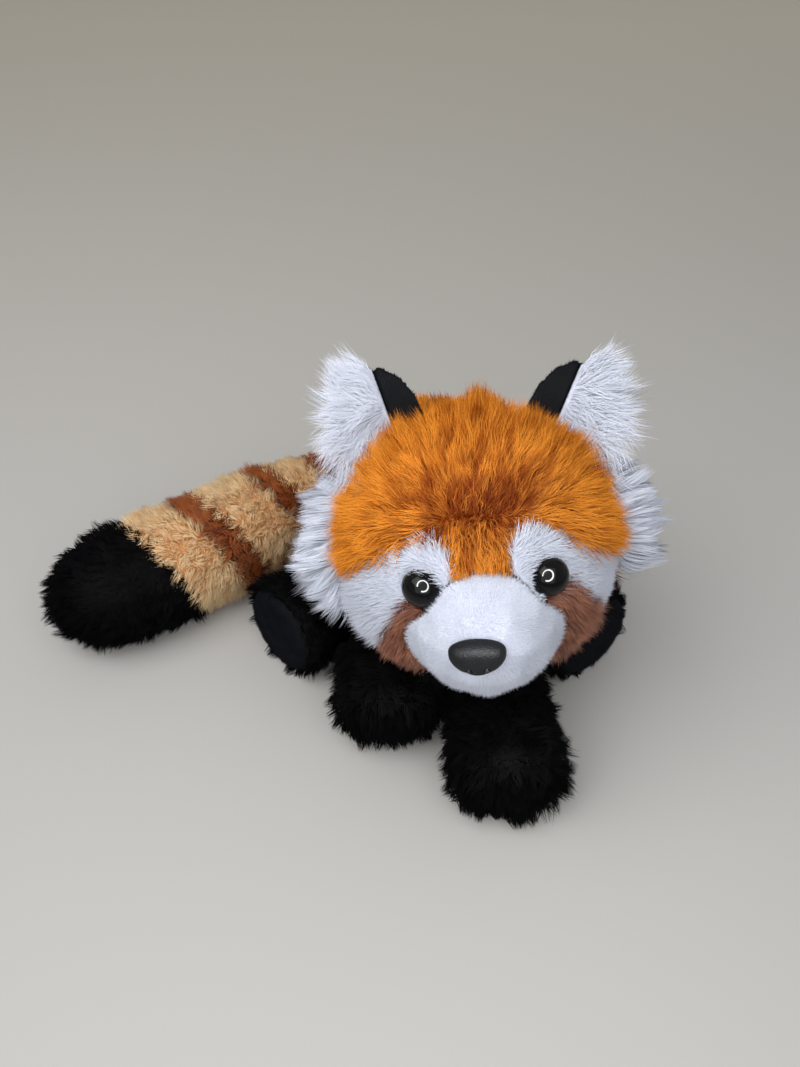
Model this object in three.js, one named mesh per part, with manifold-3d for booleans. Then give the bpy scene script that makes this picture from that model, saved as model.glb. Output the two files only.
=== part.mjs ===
// A plush red panda that lies on its belly and looks up at you, in millimetres with +Z up.
// It faces -Y. Left and right are as seen from in front, so the tail lies on the left, along -X.
// Every stuffed part is a fabric cover round a filling: the covers are shells cut into sewn panels.

import * as THREE from "three";
import { mergeVertices } from "three/addons/utils/BufferGeometryUtils.js";
import Module from "manifold-3d";

const wasm = await Module();
wasm.setup();

// Fabric and fits
const PILE = 2.6; // pile fabric with its backing
const SEAM = 0.35; // gap left along each seam
const LINING = 0.4; // gap between the fabric and the filling
const HOLLOW = 1.0; // room round a ball that turns in a hollow
const CUTTER = 600; // reach of the planes and cutters, past everything

// Head, a ball with a muzzle that stands out of it
const HEAD_CENTRE = new THREE.Vector3(9, -46, 79);
const HEAD_PITCH = 10; // degrees, nose up
const HEAD_ROLL = 6; // degrees, right cheek up
const HEAD_RADII = new THREE.Vector3(45, 42, 42.5);
const HEAD_DETAIL = 5;
const MUZZLE_REACH = 13;
const MUZZLE_DROP = 7; // degrees below the head's level
const MUZZLE_HALF_WIDTH = 31; // degrees
const MUZZLE_HALF_HEIGHT = 29; // degrees
const MUZZLE_CROWN = 0.25; // share of the muzzle that is full
const MUZZLE_FOOT = 1.2; // where it has run out into the face
const JAW_HEIGHT = -13; // of the throat's seam, at the middle of the head
const JAW_FALL = 0.5; // this seam falls to the rear, under the head
const EAR_SEAM_TILT = 32; // degrees that the seam through the ears leans back
const EAR_SEAM_OFFSET = -4; // in front of the head's centre
const OUTLINE_STEPS = 30;
const INNER_DETAIL = 3; // the inside of a cover is plainer than its outside

// Face panels, as azimuth and elevation in degrees from the head's centre, for the right side
const MUZZLE_OUTLINE = [[0, 26], [15, 20], [22, 9], [31, 0], [33, -14], [25, -33], [0, -45]];
const CHEEK_OUTLINE = [
  [12, 23],
  [16, 36],
  [27, 39],
  [44, 29],
  [64, 12],
  [77, -4],
  [70, -22],
  [52, -27],
  [34, -10],
  [18, 6],
];

// What differs between the two sides of the head: places along the ear seam are degrees from the top
const SIDES = [
  {
    side: "left",
    sign: -1,
    tear: [[24, 10], [31, 10], [37, 0], [47, -14], [54, -28], [43, -38], [28, -30], [28, -8]],
    earPlace: 35,
    earSplay: 15,
    ruffStart: 57,
    ruffEnd: 108,
  },
  {
    side: "right",
    sign: 1,
    tear: [[24, 10], [36, 12], [44, 1], [56, -14], [58, -28], [44, -38], [28, -30], [28, -8]],
    earPlace: 42,
    earSplay: 28,
    ruffStart: 64,
    ruffEnd: 102,
  },
];

// Eyes and nose, each pushed through the fabric and held by a washer behind it
const EYES = [
  { side: "left", azimuth: -26, elevation: 18 },
  { side: "right", azimuth: 28.5, elevation: 17.5 },
];
const EYE_RADIUS = 6;
const EYE_RISE = 5.2;
const EYE_RIM = 0.8;
const EYE_SEAT = 1.0; // how far the rim sits into the pile
const STEM_RADIUS = 1.7;
const STEM_RIDGE = 2.05;
const STEM_RIDGES = [-10, -6.5]; // heights of the ridges that hold the washer
const STEM_RIDGE_SLOPE = 0.9; // length over which a ridge rises
const STEM_NECK = 3.9; // smooth length under the cap
const STEM_LENGTH = 13;
const WASHER_RADIUS = 6.5;
const WASHER_THICKNESS = 1.3;
const WASHER_COLLAR = 0.8; // height of the collar round its bore
const WASHER_COLLAR_WIDTH = 1.4;
const WASHER_PLAY = 0.3; // between the bore and the stem
const EYE_WASHER_DROP = 1.1; // behind the fabric, which curves away round it
const NOSE_WASHER_DROP = 3.2;
const NOSE_AZIMUTH = -3.6;
const NOSE_ELEVATION = 1.5;
const NOSE_HALF_WIDTH = 5.2; // of the flat face inside its rounding
const NOSE_SHOULDER = 1; // height where it is widest
const NOSE_TOP = 1.4; // rise of the face above its shoulder
const NOSE_BOTTOM = 4.6; // and its fall below
const NOSE_ROUND = 2.9;
const NOSE_DEPTH = 4.6;
const NOSE_SEAT = 1.4;
const NOSTRIL = new THREE.Vector3(2.2, -3.2, 1); // place of one nostril on the nose's face, and its radius

// Ears and cheek ruffs, sewn on along the ear seam
const EAR_RADII = new THREE.Vector3(14, 3.1, 23);
const EAR_FULLNESS = 0.12; // how blunt the tip is
const EAR_RISE = 4; // the ear's middle above the head
const EAR_CUP = 4.5; // how far its edges come forward
const EAR_SKIN = 0.4; // flat side of each layer
const EAR_LINING_EDGE = 3; // the velour lining lies inwards of this line
const EAR_CLEAR = 1.6; // room for the ear to flex over the head
const EAR_ROOT = 0.9; // thickness of the sewn edge that meets the head
const RUFF_HALF_WIDTH = 7.5;
const RUFF_RISE = 5.2;

// Body, an egg that is low at the chest and high at the rump
const BODY_CENTRE = new THREE.Vector3(0, 13, 38);
const BODY_RADII = new THREE.Vector3(39, 61, 38);
const BODY_DETAIL = 5;
const BELLY_SINK = 4; // of the egg that the floor flattens
const CHEST_SHARE = 0.45; // height of the chest against the rump
const CHEST_FROM = -44;
const CHEST_TO = 19;
const CHEST_SKEW = 0.26; // the right shoulder lies further forward
const BACK_SEAM_HEIGHT = 32;
const BACK_SEAM_FALL = 0.23; // the seam between back and belly falls to the rear
const PELLET_RADII = new THREE.Vector3(19, 20, 10);
const PELLET_CENTRE = new THREE.Vector3(0, 14, 9);

// Neck, a wad of filling between the body and the head
const NECK_CENTRE = new THREE.Vector3(4.5, -14.5, 50);
const NECK_RADIUS = 19;

// Legs, each on a round root that turns in a hollow of the body
const LEG_AROUND = 12;
const LEG_ROOT_RADIUS = 14.5;
const LEGS = [
  { name: "foreleg_left", root: [-21.5, -43, 23], sole: [-19, -76, 16.6], pawRadius: 17.4 },
  { name: "foreleg_right", root: [19.5, -51.5, 16.2], sole: [21, -103, 16.9], pawRadius: 17.4 },
  { name: "hindleg_left", root: [-39.5, -13, 17], sole: [-65, -37, 19.6], pawRadius: 19.6 },
  { name: "hindleg_right", root: [43.6, -16.8, 17], sole: [60.5, -40.5, 19.6], pawRadius: 19.6 },
];
const PAW_EDGE = 7; // rounding between paw and sole
const SOLE_THICKNESS = 3.4;

// Tail, tapered to its root, with sewn bands that lean along it
const TAIL_ROUTE = [
  [-10.5, 64.5, 23],
  [-20, 60.5, 22.5],
  [-42, 50, 22],
  [-63, 36, 21.5],
  [-84, 20, 21],
  [-117, -4, 21],
  [-154, -26, 21],
];
const TAIL_ROOT_RADIUS = 10.5;
const TAIL_RADIUS = 21.6;
const TAIL_SWELL = 80; // from the root to its full thickness
const TAIL_TIP = 26; // length of the rounded end
const TAIL_AROUND = 12;
const TAIL_STEPS = 6;
const TAIL_PRESS = 4; // degrees that it can be pressed towards the body
const TAIL_LEAN = 0.5; // bands lie further out on top than underneath
const TAIL_BANDS = [
  { name: "tail_tan_1", to: 26 },
  { name: "tail_brown_1", to: 35 },
  { name: "tail_tan_2", to: 51 },
  { name: "tail_brown_2", to: 61 },
  { name: "tail_tan_3", to: 84 },
  { name: "tail_brown_3", to: 95 },
  { name: "tail_tan_4", to: 115 },
  { name: "tail_tip" },
];

const COLOURS = {
  orange: 0xc8762c,
  white: 0xe9e9ee,
  brown: 0x7d4a34,
  black: 0x1b1b1f,
  tan: 0xcba372,
  stripe: 0x8a4a1c,
  gloss: 0x08080a,
  filling: 0xf3f1ea,
  plastic: 0xd8d8d8,
  bag: 0xd9cfb8,
};

const UP = new THREE.Vector3(0, 0, 1);
const radians = THREE.MathUtils.degToRad;
const smooth = (from, to, value) => THREE.MathUtils.smoothstep(value, from, to);
const vector = (list) => new THREE.Vector3(...list);

// A three.js geometry with its doubled vertices joined and its empty triangles dropped
function welded(geometry) {
  const bare = geometry.clone();
  bare.deleteAttribute("normal");
  bare.deleteAttribute("uv");
  const joined = mergeVertices(bare, 1e-4);
  const corners = joined.index.array;
  const kept = [];
  for (let i = 0; i < corners.length; i += 3) {
    const [a, b, c] = corners.slice(i, i + 3);
    if (a !== b && b !== c && c !== a) {
      kept.push(a, b, c);
    }
  }
  joined.setIndex(kept);
  return joined;
}

function solidOf(geometry) {
  const joined = welded(geometry);
  return new wasm.Manifold(new wasm.Mesh({
    numProp: 3,
    vertProperties: new Float32Array(joined.attributes.position.array),
    triVerts: new Uint32Array(joined.index.array),
  }));
}

// The same form drawn in by a distance along its normals, for the inside of a cover
function drawnIn(geometry, distance) {
  const joined = welded(geometry);
  joined.computeVertexNormals();
  const place = joined.attributes.position;
  const normal = joined.attributes.normal;
  for (let i = 0; i < place.count; i += 1) {
    place.setXYZ(
      i,
      place.getX(i) - normal.getX(i) * distance,
      place.getY(i) - normal.getY(i) * distance,
      place.getZ(i) - normal.getZ(i) * distance,
    );
  }
  return joined;
}

// Moves every vertex of a geometry by a rule
function shaped(geometry, rule) {
  const place = geometry.attributes.position;
  const point = new THREE.Vector3();
  for (let i = 0; i < place.count; i += 1) {
    point.fromBufferAttribute(place, i);
    place.setXYZ(i, ...rule(point).toArray());
  }
  return geometry;
}

function moved(solid, matrix) {
  return solid.transform(matrix.elements);
}

function ball(centre, radius, detail) {
  return solidOf(new THREE.IcosahedronGeometry(radius, detail).translate(centre.x, centre.y, centre.z));
}

// Everything on the far side of a plane, along its normal
function beyond(normal, distance) {
  const box = new THREE.BoxGeometry(CUTTER, CUTTER, CUTTER).translate(0, 0, CUTTER / 2);
  const turn = new THREE.Quaternion().setFromUnitVectors(UP, normal.clone().normalize());
  const shift = normal.clone().normalize().multiplyScalar(distance);
  return solidOf(box.applyQuaternion(turn).translate(shift.x, shift.y, shift.z));
}

// A revolved profile that stands at a place and points along a direction
function turned(profile, around, place, direction) {
  const form = new THREE.LatheGeometry(profile, around);
  const turn = new THREE.Quaternion().setFromUnitVectors(new THREE.Vector3(0, 1, 0), direction);
  return form.applyQuaternion(turn).translate(place.x, place.y, place.z);
}

function rod(radius, from, to, around, place, direction) {
  const corners = [[0, from], [radius, from], [radius, to], [0, to]];
  return solidOf(turned(corners.map(([x, y]) => new THREE.Vector2(x, y)), around, place, direction));
}

// A revolved profile bent along a curve, its height taken as a length along it
function bent(profile, around, curve, widths, upAt) {
  const length = curve.getLength();
  return shaped(new THREE.LatheGeometry(profile, around), (point) => {
    const share = THREE.MathUtils.clamp(point.y / length, 0, 1);
    const along = curve.getTangentAt(share);
    const side = new THREE.Vector3().crossVectors(along, upAt(share)).normalize();
    const up = new THREE.Vector3().crossVectors(side, along);
    const middle = curve.getPointAt(share);
    return middle.addScaledVector(side, point.x * widths[0]).addScaledVector(up, point.z * widths[1]);
  });
}

const object = new THREE.Group();
object.name = "plush_red_panda";

function addPiece(name, solid, colour) {
  const pieces = solid.decompose().sort((a, b) => b.volume() - a.volume());
  const body = pieces[0].getMesh();
  const geometry = new THREE.BufferGeometry();
  geometry.setAttribute("position", new THREE.BufferAttribute(new Float32Array(body.vertProperties), 3));
  geometry.setIndex(Array.from(body.triVerts));
  geometry.computeVertexNormals();
  const mesh = new THREE.Mesh(geometry, new THREE.MeshStandardMaterial({ color: colour }));
  mesh.name = name;
  object.add(mesh);
}

// Head

const headPose = new THREE.Matrix4().compose(
  HEAD_CENTRE,
  new THREE.Quaternion().setFromEuler(new THREE.Euler(radians(-HEAD_PITCH), radians(-HEAD_ROLL), 0, "ZXY")),
  new THREE.Vector3(1, 1, 1),
);
const neckInHead = NECK_CENTRE.clone().applyMatrix4(headPose.clone().invert());

function headDirection(azimuth, elevation) {
  const a = radians(azimuth);
  const e = radians(elevation);
  return new THREE.Vector3(Math.sin(a) * Math.cos(e), -Math.cos(a) * Math.cos(e), Math.sin(e));
}

function headRadius(direction) {
  const round = 1 / direction.clone().divide(HEAD_RADII).length();
  const azimuth = THREE.MathUtils.radToDeg(Math.atan2(direction.x, -direction.y));
  const elevation = THREE.MathUtils.radToDeg(Math.asin(direction.z));
  const far = Math.hypot(azimuth / MUZZLE_HALF_WIDTH, (elevation + MUZZLE_DROP) / MUZZLE_HALF_HEIGHT);
  return round + MUZZLE_REACH * (1 - smooth(MUZZLE_CROWN, MUZZLE_FOOT, far));
}

function onHead(azimuth, elevation) {
  const direction = headDirection(azimuth, elevation);
  return direction.multiplyScalar(headRadius(direction.clone()));
}

function headForm(detail) {
  return shaped(new THREE.IcosahedronGeometry(1, detail), (point) => {
    const direction = point.clone().normalize();
    return direction.clone().multiplyScalar(headRadius(direction));
  });
}

// A cutter that runs out from the head's centre through an outline on the face
function faceCutter(outline, side, grow) {
  const marks = outline.map(([azimuth, elevation]) => new THREE.Vector3(azimuth * side, elevation, 0));
  const curve = new THREE.CatmullRomCurve3(marks, true, "centripetal");
  const points = curve.getPoints(OUTLINE_STEPS).slice(0, -1).map((p) => new THREE.Vector2(p.x, p.y));
  if (THREE.ShapeUtils.isClockWise(points)) {
    points.reverse();
  }
  const step = THREE.MathUtils.radToDeg(grow / HEAD_RADII.y);
  const grown = points.map((point, i) => {
    const ahead = points[(i + 1) % points.length];
    const behind = points[(i + points.length - 1) % points.length];
    const along = ahead.clone().sub(behind).normalize();
    return new THREE.Vector2(point.x + along.y * step, point.y - along.x * step);
  });
  const column = new THREE.ExtrudeGeometry(new THREE.Shape(grown), { depth: 1, bevelEnabled: false });
  const near = HEAD_RADII.y * 0.5;
  const far = HEAD_RADII.y * 2;
  return solidOf(shaped(column, (p) => headDirection(p.x, p.y).multiplyScalar(near + (far - near) * p.z)));
}

// The muzzle's outline is for both halves, so its mirror image is joined on
const muzzleLoop = [...MUZZLE_OUTLINE, ...MUZZLE_OUTLINE.slice(1, -1).reverse().map(([a, e]) => [-a, e])];

const head = headForm(HEAD_DETAIL);
const headOuter = solidOf(head);
const headShell = headOuter.subtract(solidOf(drawnIn(headForm(INNER_DETAIL), PILE)));
const neckHollow = ball(neckInHead, NECK_RADIUS + HOLLOW, 2);
const seamNormal = new THREE.Vector3(0, Math.cos(radians(EAR_SEAM_TILT)), -Math.sin(radians(EAR_SEAM_TILT)));
const seamAlong = new THREE.Vector3(0, Math.sin(radians(EAR_SEAM_TILT)), Math.cos(radians(EAR_SEAM_TILT)));
const behindEars = beyond(seamNormal, EAR_SEAM_OFFSET + SEAM / 2);
const beforeEars = beyond(seamNormal.clone().negate(), -EAR_SEAM_OFFSET + SEAM / 2);
const jawUp = new THREE.Vector3(0, JAW_FALL, 1);
const jawLevel = JAW_HEIGHT / jawUp.length();
const aboveJaw = beyond(jawUp, jawLevel + SEAM / 2);
const belowJaw = beyond(jawUp.clone().negate(), -jawLevel + SEAM / 2);

const muzzleCut = faceCutter(muzzleLoop, 1, 0);
const muzzleRoom = faceCutter(muzzleLoop, 1, SEAM);
const headPanels = [];

function addPanel(name, solid, colour) {
  headPanels.push({ name, solid, colour });
}

addPanel("muzzle_panel", headShell.intersect(muzzleCut), COLOURS.white);
let faceRoom = muzzleRoom;
for (const { side, sign, tear } of SIDES) {
  const tearCut = faceCutter(tear, sign, 0).subtract(muzzleRoom);
  const tearRoom = faceCutter(tear, sign, SEAM);
  const cheekCut = faceCutter(CHEEK_OUTLINE, sign, 0).subtract(muzzleRoom).subtract(tearRoom);
  addPanel(`tear_panel_${side}`, headShell.intersect(tearCut), COLOURS.brown);
  addPanel(`cheek_panel_${side}`, headShell.intersect(cheekCut), COLOURS.white);
  faceRoom = faceRoom.add(tearRoom).add(faceCutter(CHEEK_OUTLINE, sign, SEAM));
}
const roundTheFace = headShell.subtract(faceRoom).subtract(neckHollow);
addPanel("crown_panel", roundTheFace.intersect(beforeEars).intersect(aboveJaw), COLOURS.orange);
addPanel("throat_panel", roundTheFace.intersect(belowJaw), COLOURS.black);
addPanel("nape_panel", roundTheFace.intersect(behindEars).intersect(aboveJaw), COLOURS.orange);

let headFilling = solidOf(drawnIn(headForm(INNER_DETAIL), PILE + LINING)).subtract(neckHollow);

// An eye is a glossy cap on a ridged stem
function eyeProfile() {
  const points = [new THREE.Vector2(0, -STEM_LENGTH)];
  points.push(new THREE.Vector2(STEM_RADIUS * 0.6, -STEM_LENGTH));
  for (const ridge of STEM_RIDGES) {
    points.push(new THREE.Vector2(STEM_RADIUS, ridge - STEM_RIDGE_SLOPE));
    points.push(new THREE.Vector2(STEM_RIDGE, ridge));
  }
  points.push(new THREE.Vector2(STEM_RADIUS, -STEM_NECK));
  points.push(new THREE.Vector2(STEM_RADIUS, 0));
  points.push(new THREE.Vector2(EYE_RADIUS - EYE_RIM, 0));
  const dome = new THREE.EllipseCurve(0, EYE_RIM, EYE_RADIUS, EYE_RISE, 0, Math.PI / 2);
  for (const point of dome.getPoints(5)) {
    points.push(new THREE.Vector2(Math.max(point.x, 0), point.y));
  }
  return points;
}

function washerProfile(bore) {
  const back = -WASHER_THICKNESS - WASHER_COLLAR;
  return [
    new THREE.Vector2(bore, back),
    new THREE.Vector2(bore + WASHER_COLLAR_WIDTH, back),
    new THREE.Vector2(WASHER_RADIUS, -WASHER_THICKNESS),
    new THREE.Vector2(WASHER_RADIUS, 0),
    new THREE.Vector2(bore, 0),
    new THREE.Vector2(bore, back),
  ];
}

// Cuts the seat, the stem's hole and the washer's room for one pushed-in piece
function openFor(place, outward, seatRadius, washerTop) {
  const bore = STEM_RIDGE + SEAM;
  const hole = rod(bore, -STEM_LENGTH - 1, 5, 10, place, outward);
  const washerEnd = washerTop - WASHER_THICKNESS - 2 * WASHER_COLLAR;
  const room = rod(WASHER_RADIUS + SEAM, washerEnd, 20, 14, place, outward);
  const pocket = rod(WASHER_RADIUS + SEAM, washerEnd, washerTop + SEAM, 14, place, outward);
  for (const panel of headPanels) {
    panel.solid = panel.solid.subtract(hole).subtract(pocket);
    if (seatRadius > 0) {
      panel.solid = panel.solid.subtract(rod(seatRadius, 0, 30, 14, place, outward));
    }
  }
  headFilling = headFilling.subtract(hole).subtract(room);
}

const headExtras = [];

function addExtra(name, solid, colour) {
  headExtras.push({ name, solid, colour });
}

for (const eye of EYES) {
  const outward = headDirection(eye.azimuth, eye.elevation);
  const place = onHead(eye.azimuth, eye.elevation).addScaledVector(outward, -EYE_SEAT);
  const washerTop = -(PILE - EYE_SEAT) - EYE_WASHER_DROP;
  openFor(place.clone().addScaledVector(outward, -SEAM), outward, EYE_RADIUS + SEAM, washerTop);
  const washerPlace = place.clone().addScaledVector(outward, washerTop);
  const washer = turned(washerProfile(STEM_RIDGE + WASHER_PLAY), 12, washerPlace, outward);
  addExtra(`eye_${eye.side}`, solidOf(turned(eyeProfile(), 14, place, outward)), COLOURS.gloss);
  addExtra(`eye_washer_${eye.side}`, solidOf(washer), COLOURS.plastic);
}

// The nose is a rounded shield with two nostrils, on a stem like the eyes'
function noseSolid() {
  const face = new THREE.Shape();
  face.absellipse(0, NOSE_SHOULDER, NOSE_HALF_WIDTH, NOSE_TOP, 0, Math.PI);
  face.absellipse(0, NOSE_SHOULDER, NOSE_HALF_WIDTH, NOSE_BOTTOM, Math.PI, 2 * Math.PI);
  const block = new THREE.ExtrudeGeometry(face, {
    depth: NOSE_DEPTH - NOSE_ROUND,
    bevelEnabled: true,
    bevelThickness: NOSE_ROUND,
    bevelSize: NOSE_ROUND,
    bevelSegments: 3,
    curveSegments: 7,
  });
  let nose = solidOf(block).intersect(beyond(UP, 0));
  for (const sign of [-1, 1]) {
    const nostril = new THREE.IcosahedronGeometry(1, 1).scale(NOSTRIL.z * 1.5, NOSTRIL.z, NOSTRIL.z);
    nose = nose.subtract(solidOf(nostril.translate(sign * NOSTRIL.x, NOSTRIL.y, NOSE_DEPTH - 0.6)));
  }
  return nose;
}

const noseOut = headDirection(NOSE_AZIMUTH, NOSE_ELEVATION);
const nosePlace = onHead(NOSE_AZIMUTH, NOSE_ELEVATION).addScaledVector(noseOut, -NOSE_SEAT);
const noseSide = new THREE.Vector3().crossVectors(UP, noseOut).normalize();
const noseUp = new THREE.Vector3().crossVectors(noseOut, noseSide);
const noseFrame = new THREE.Matrix4().makeBasis(noseSide, noseUp, noseOut);
noseFrame.setPosition(nosePlace);
const noseStem = rod(STEM_RADIUS, -STEM_LENGTH, 0.5, 10, nosePlace, noseOut);
const noseWasherTop = -(PILE - NOSE_SEAT) - NOSE_WASHER_DROP;
openFor(nosePlace, noseOut, 0, noseWasherTop);
const noseRoom = moved(noseSolid().scale([1.05, 1.05, 3]).translate([0, 0, -SEAM]), noseFrame);
for (const panel of headPanels) {
  panel.solid = panel.solid.subtract(noseRoom);
}
const noseWasherPlace = nosePlace.clone().addScaledVector(noseOut, noseWasherTop);
const noseWasher = turned(washerProfile(STEM_RADIUS + WASHER_PLAY), 12, noseWasherPlace, noseOut);
addExtra("nose", moved(noseSolid(), noseFrame).add(noseStem), COLOURS.gloss);
addExtra("nose_washer", solidOf(noseWasher), COLOURS.plastic);

// A point on the seam through the ears, an angle down from the top of the head
function onSeam(angle, sign, rise) {
  const direction = seamAlong.clone().multiplyScalar(Math.cos(radians(angle)));
  direction.x = sign * Math.sin(radians(angle));
  const start = seamNormal.clone().multiplyScalar(EAR_SEAM_OFFSET);
  const reach = headRadius(direction.clone()) + rise;
  const across = Math.sqrt(reach * reach - start.lengthSq());
  return direction.multiplyScalar(across).add(start);
}

// One layer of an ear: a leaf, plump on one side and flat on the other, with its edges cupped forward
function earLayer(front) {
  return shaped(new THREE.SphereGeometry(1, 16, 8), (p) => {
    const plump = front ? p.y < 0 : p.y > 0;
    const start = front ? -EAR_SKIN - SEAM / 2 : EAR_SKIN + SEAM / 2;
    const depth = start + p.y * (plump ? EAR_RADII.y : EAR_SKIN);
    const width = p.x * EAR_RADII.x * (1 + EAR_FULLNESS * p.z * p.z);
    return new THREE.Vector3(width, depth - EAR_CUP * p.x * p.x, p.z * EAR_RADII.z + EAR_RISE);
  });
}

const headKeepOut = solidOf(drawnIn(headForm(HEAD_DETAIL), -EAR_CLEAR));
const ruffKeepOut = solidOf(drawnIn(headForm(HEAD_DETAIL), -SEAM));
for (const { side, sign, earPlace, earSplay, ruffStart, ruffEnd } of SIDES) {
  const tall = seamAlong.clone().multiplyScalar(Math.cos(radians(earSplay)));
  tall.x = sign * Math.sin(radians(earSplay));
  const across = new THREE.Vector3().crossVectors(seamNormal, tall);
  const frame = new THREE.Matrix4().makeBasis(across, seamNormal, tall);
  frame.setPosition(onSeam(earPlace, sign, 0));
  const inward = new THREE.Vector3(-sign, 0, 0);
  const liningSide = beyond(inward, EAR_LINING_EDGE);
  const furSide = beyond(inward.clone().negate(), SEAM - EAR_LINING_EDGE);
  const front = solidOf(earLayer(true));
  const earPieces = [
    { name: `ear_${side}_fur`, solid: front.intersect(furSide), colour: COLOURS.white },
    { name: `ear_${side}_lining`, solid: front.intersect(liningSide), colour: COLOURS.black },
    { name: `ear_${side}_back`, solid: solidOf(earLayer(false)), colour: COLOURS.black },
  ];
  const rootStrip = new THREE.BoxGeometry(CUTTER, EAR_ROOT, CUTTER).translate(0, EAR_ROOT / 2, 0);
  const root = moved(solidOf(rootStrip), frame);
  const roomToFlex = headKeepOut.subtract(root).add(ruffKeepOut);
  for (const piece of earPieces) {
    addExtra(piece.name, moved(piece.solid, frame).subtract(roomToFlex), piece.colour);
  }
  const angles = [0, 0.25, 0.5, 0.75, 1].map((share) => THREE.MathUtils.lerp(ruffStart, ruffEnd, share));
  const ruffCurve = new THREE.CatmullRomCurve3(angles.map((angle) => onSeam(angle, sign, 0.5)));
  const half = ruffCurve.getLength() / 2;
  const ruffSide = new THREE.EllipseCurve(0, half, 1, half, -Math.PI / 2, Math.PI / 2).getPoints(8);
  const ruffProfile = ruffSide.map((p) => new THREE.Vector2(Math.max(p.x, 0), p.y));
  const outward = (share) => ruffCurve.getPointAt(share).normalize();
  const ruff = bent(ruffProfile, 10, ruffCurve, [RUFF_HALF_WIDTH, RUFF_RISE], outward);
  addExtra(`cheek_ruff_${side}`, solidOf(ruff).subtract(ruffKeepOut), COLOURS.white);
}

for (const { name, solid, colour } of [...headPanels, ...headExtras]) {
  addPiece(name, moved(solid, headPose), colour);
}
addPiece("head_filling", moved(headFilling, headPose), COLOURS.filling);
addPiece("neck_filling", ball(NECK_CENTRE, NECK_RADIUS, 2), COLOURS.filling);

// The tail's form, which the body makes room for

const tailRoot = vector(TAIL_ROUTE[1]);
const tailCurve = new THREE.CatmullRomCurve3(TAIL_ROUTE.map(vector));
const tailLength = tailCurve.getLength();
const tailStart = tailCurve.getPoint(0).distanceTo(tailRoot);

function tailRadius(along) {
  const swell = THREE.MathUtils.lerp(TAIL_ROOT_RADIUS, TAIL_RADIUS, smooth(0, TAIL_SWELL, along));
  const end = tailLength - tailStart;
  const past = Math.max(along - (end - TAIL_TIP), 0) / TAIL_TIP;
  return swell * Math.sqrt(Math.max(1 - past * past, 0));
}

function tailProfile() {
  const points = [];
  for (const angle of [-90, -60, -30]) {
    const out = TAIL_ROOT_RADIUS * Math.cos(radians(angle));
    points.push(new THREE.Vector2(Math.max(out, 0), tailStart + TAIL_ROOT_RADIUS * Math.sin(radians(angle))));
  }
  points[0].x = 0;
  points[0].y = tailStart - TAIL_ROOT_RADIUS;
  const end = tailLength - tailStart;
  for (let step = 0; step <= TAIL_STEPS; step += 1) {
    const along = ((end - TAIL_TIP) * step) / TAIL_STEPS;
    points.push(new THREE.Vector2(tailRadius(along), tailStart + along));
  }
  for (const angle of [35, 65, 90]) {
    const along = end - TAIL_TIP + TAIL_TIP * Math.sin(radians(angle));
    points.push(new THREE.Vector2(angle === 90 ? 0 : tailRadius(along), tailStart + along));
  }
  return points;
}

const tailForm = bent(tailProfile(), TAIL_AROUND, tailCurve, [1, 1], () => UP);

// Body

function bodyForm(detail) {
  return shaped(new THREE.IcosahedronGeometry(1, detail), (point) => {
    const egg = point.clone().normalize().multiply(BODY_RADII);
    const y = egg.y + BODY_CENTRE.y;
    const lift = THREE.MathUtils.lerp(CHEST_SHARE, 1, smooth(CHEST_FROM, CHEST_TO, y));
    const forward = 1 - smooth(CHEST_FROM, CHEST_TO, y);
    const height = (egg.z + BODY_RADII.z) * lift - BELLY_SINK;
    return new THREE.Vector3(egg.x, y - CHEST_SKEW * egg.x * forward, height);
  });
}

const bodySkin = bodyForm(BODY_DETAIL);
const aboveFloor = beyond(UP, 0);
let bodyShell = solidOf(bodySkin).intersect(aboveFloor);
bodyShell = bodyShell.subtract(solidOf(drawnIn(bodyForm(INNER_DETAIL), PILE)).intersect(beyond(UP, PILE)));
let bodyFilling = solidOf(drawnIn(bodyForm(INNER_DETAIL), PILE + LINING));
bodyFilling = bodyFilling.intersect(beyond(UP, PILE + LINING));

function carve(room) {
  bodyShell = bodyShell.subtract(room);
  bodyFilling = bodyFilling.subtract(room);
}

function hollow(centre, radius) {
  carve(ball(centre, radius + HOLLOW, 2));
}

hollow(NECK_CENTRE, NECK_RADIUS);
hollow(tailRoot, TAIL_ROOT_RADIUS);
for (const leg of LEGS) {
  hollow(vector(leg.root), LEG_ROOT_RADIUS);
}

// The tail leaves its root along the body's flank, which gives way to it as far as it is pressed inwards
const tailRoom = solidOf(drawnIn(tailForm, -HOLLOW));
for (const press of [0, TAIL_PRESS]) {
  const sweep = new THREE.Matrix4().makeTranslation(tailRoot);
  sweep.multiply(new THREE.Matrix4().makeRotationZ(radians(press)));
  sweep.multiply(new THREE.Matrix4().makeTranslation(tailRoot.clone().negate()));
  carve(moved(tailRoom, sweep));
}

const seamUp = new THREE.Vector3(0, BACK_SEAM_FALL, 1);
const seamLevel = BACK_SEAM_HEIGHT / seamUp.length();
const overBack = bodyShell.intersect(beyond(seamUp, seamLevel + SEAM / 2));
for (const { side, sign } of SIDES) {
  const half = beyond(new THREE.Vector3(sign, 0, 0), SEAM / 2);
  addPiece(`back_panel_${side}`, overBack.intersect(half), COLOURS.orange);
}
addPiece("belly_panel", bodyShell.subtract(beyond(seamUp, seamLevel - SEAM / 2)), COLOURS.black);

const pelletForm = new THREE.IcosahedronGeometry(1, 2).scale(...PELLET_RADII.toArray());
pelletForm.translate(...PELLET_CENTRE.toArray());
const pelletFloor = beyond(UP, PILE + LINING);
addPiece("pellet_bag", solidOf(pelletForm).intersect(pelletFloor), COLOURS.bag);
addPiece("body_filling", bodyFilling.subtract(solidOf(drawnIn(pelletForm, -LINING))), COLOURS.filling);

// Legs

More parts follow.
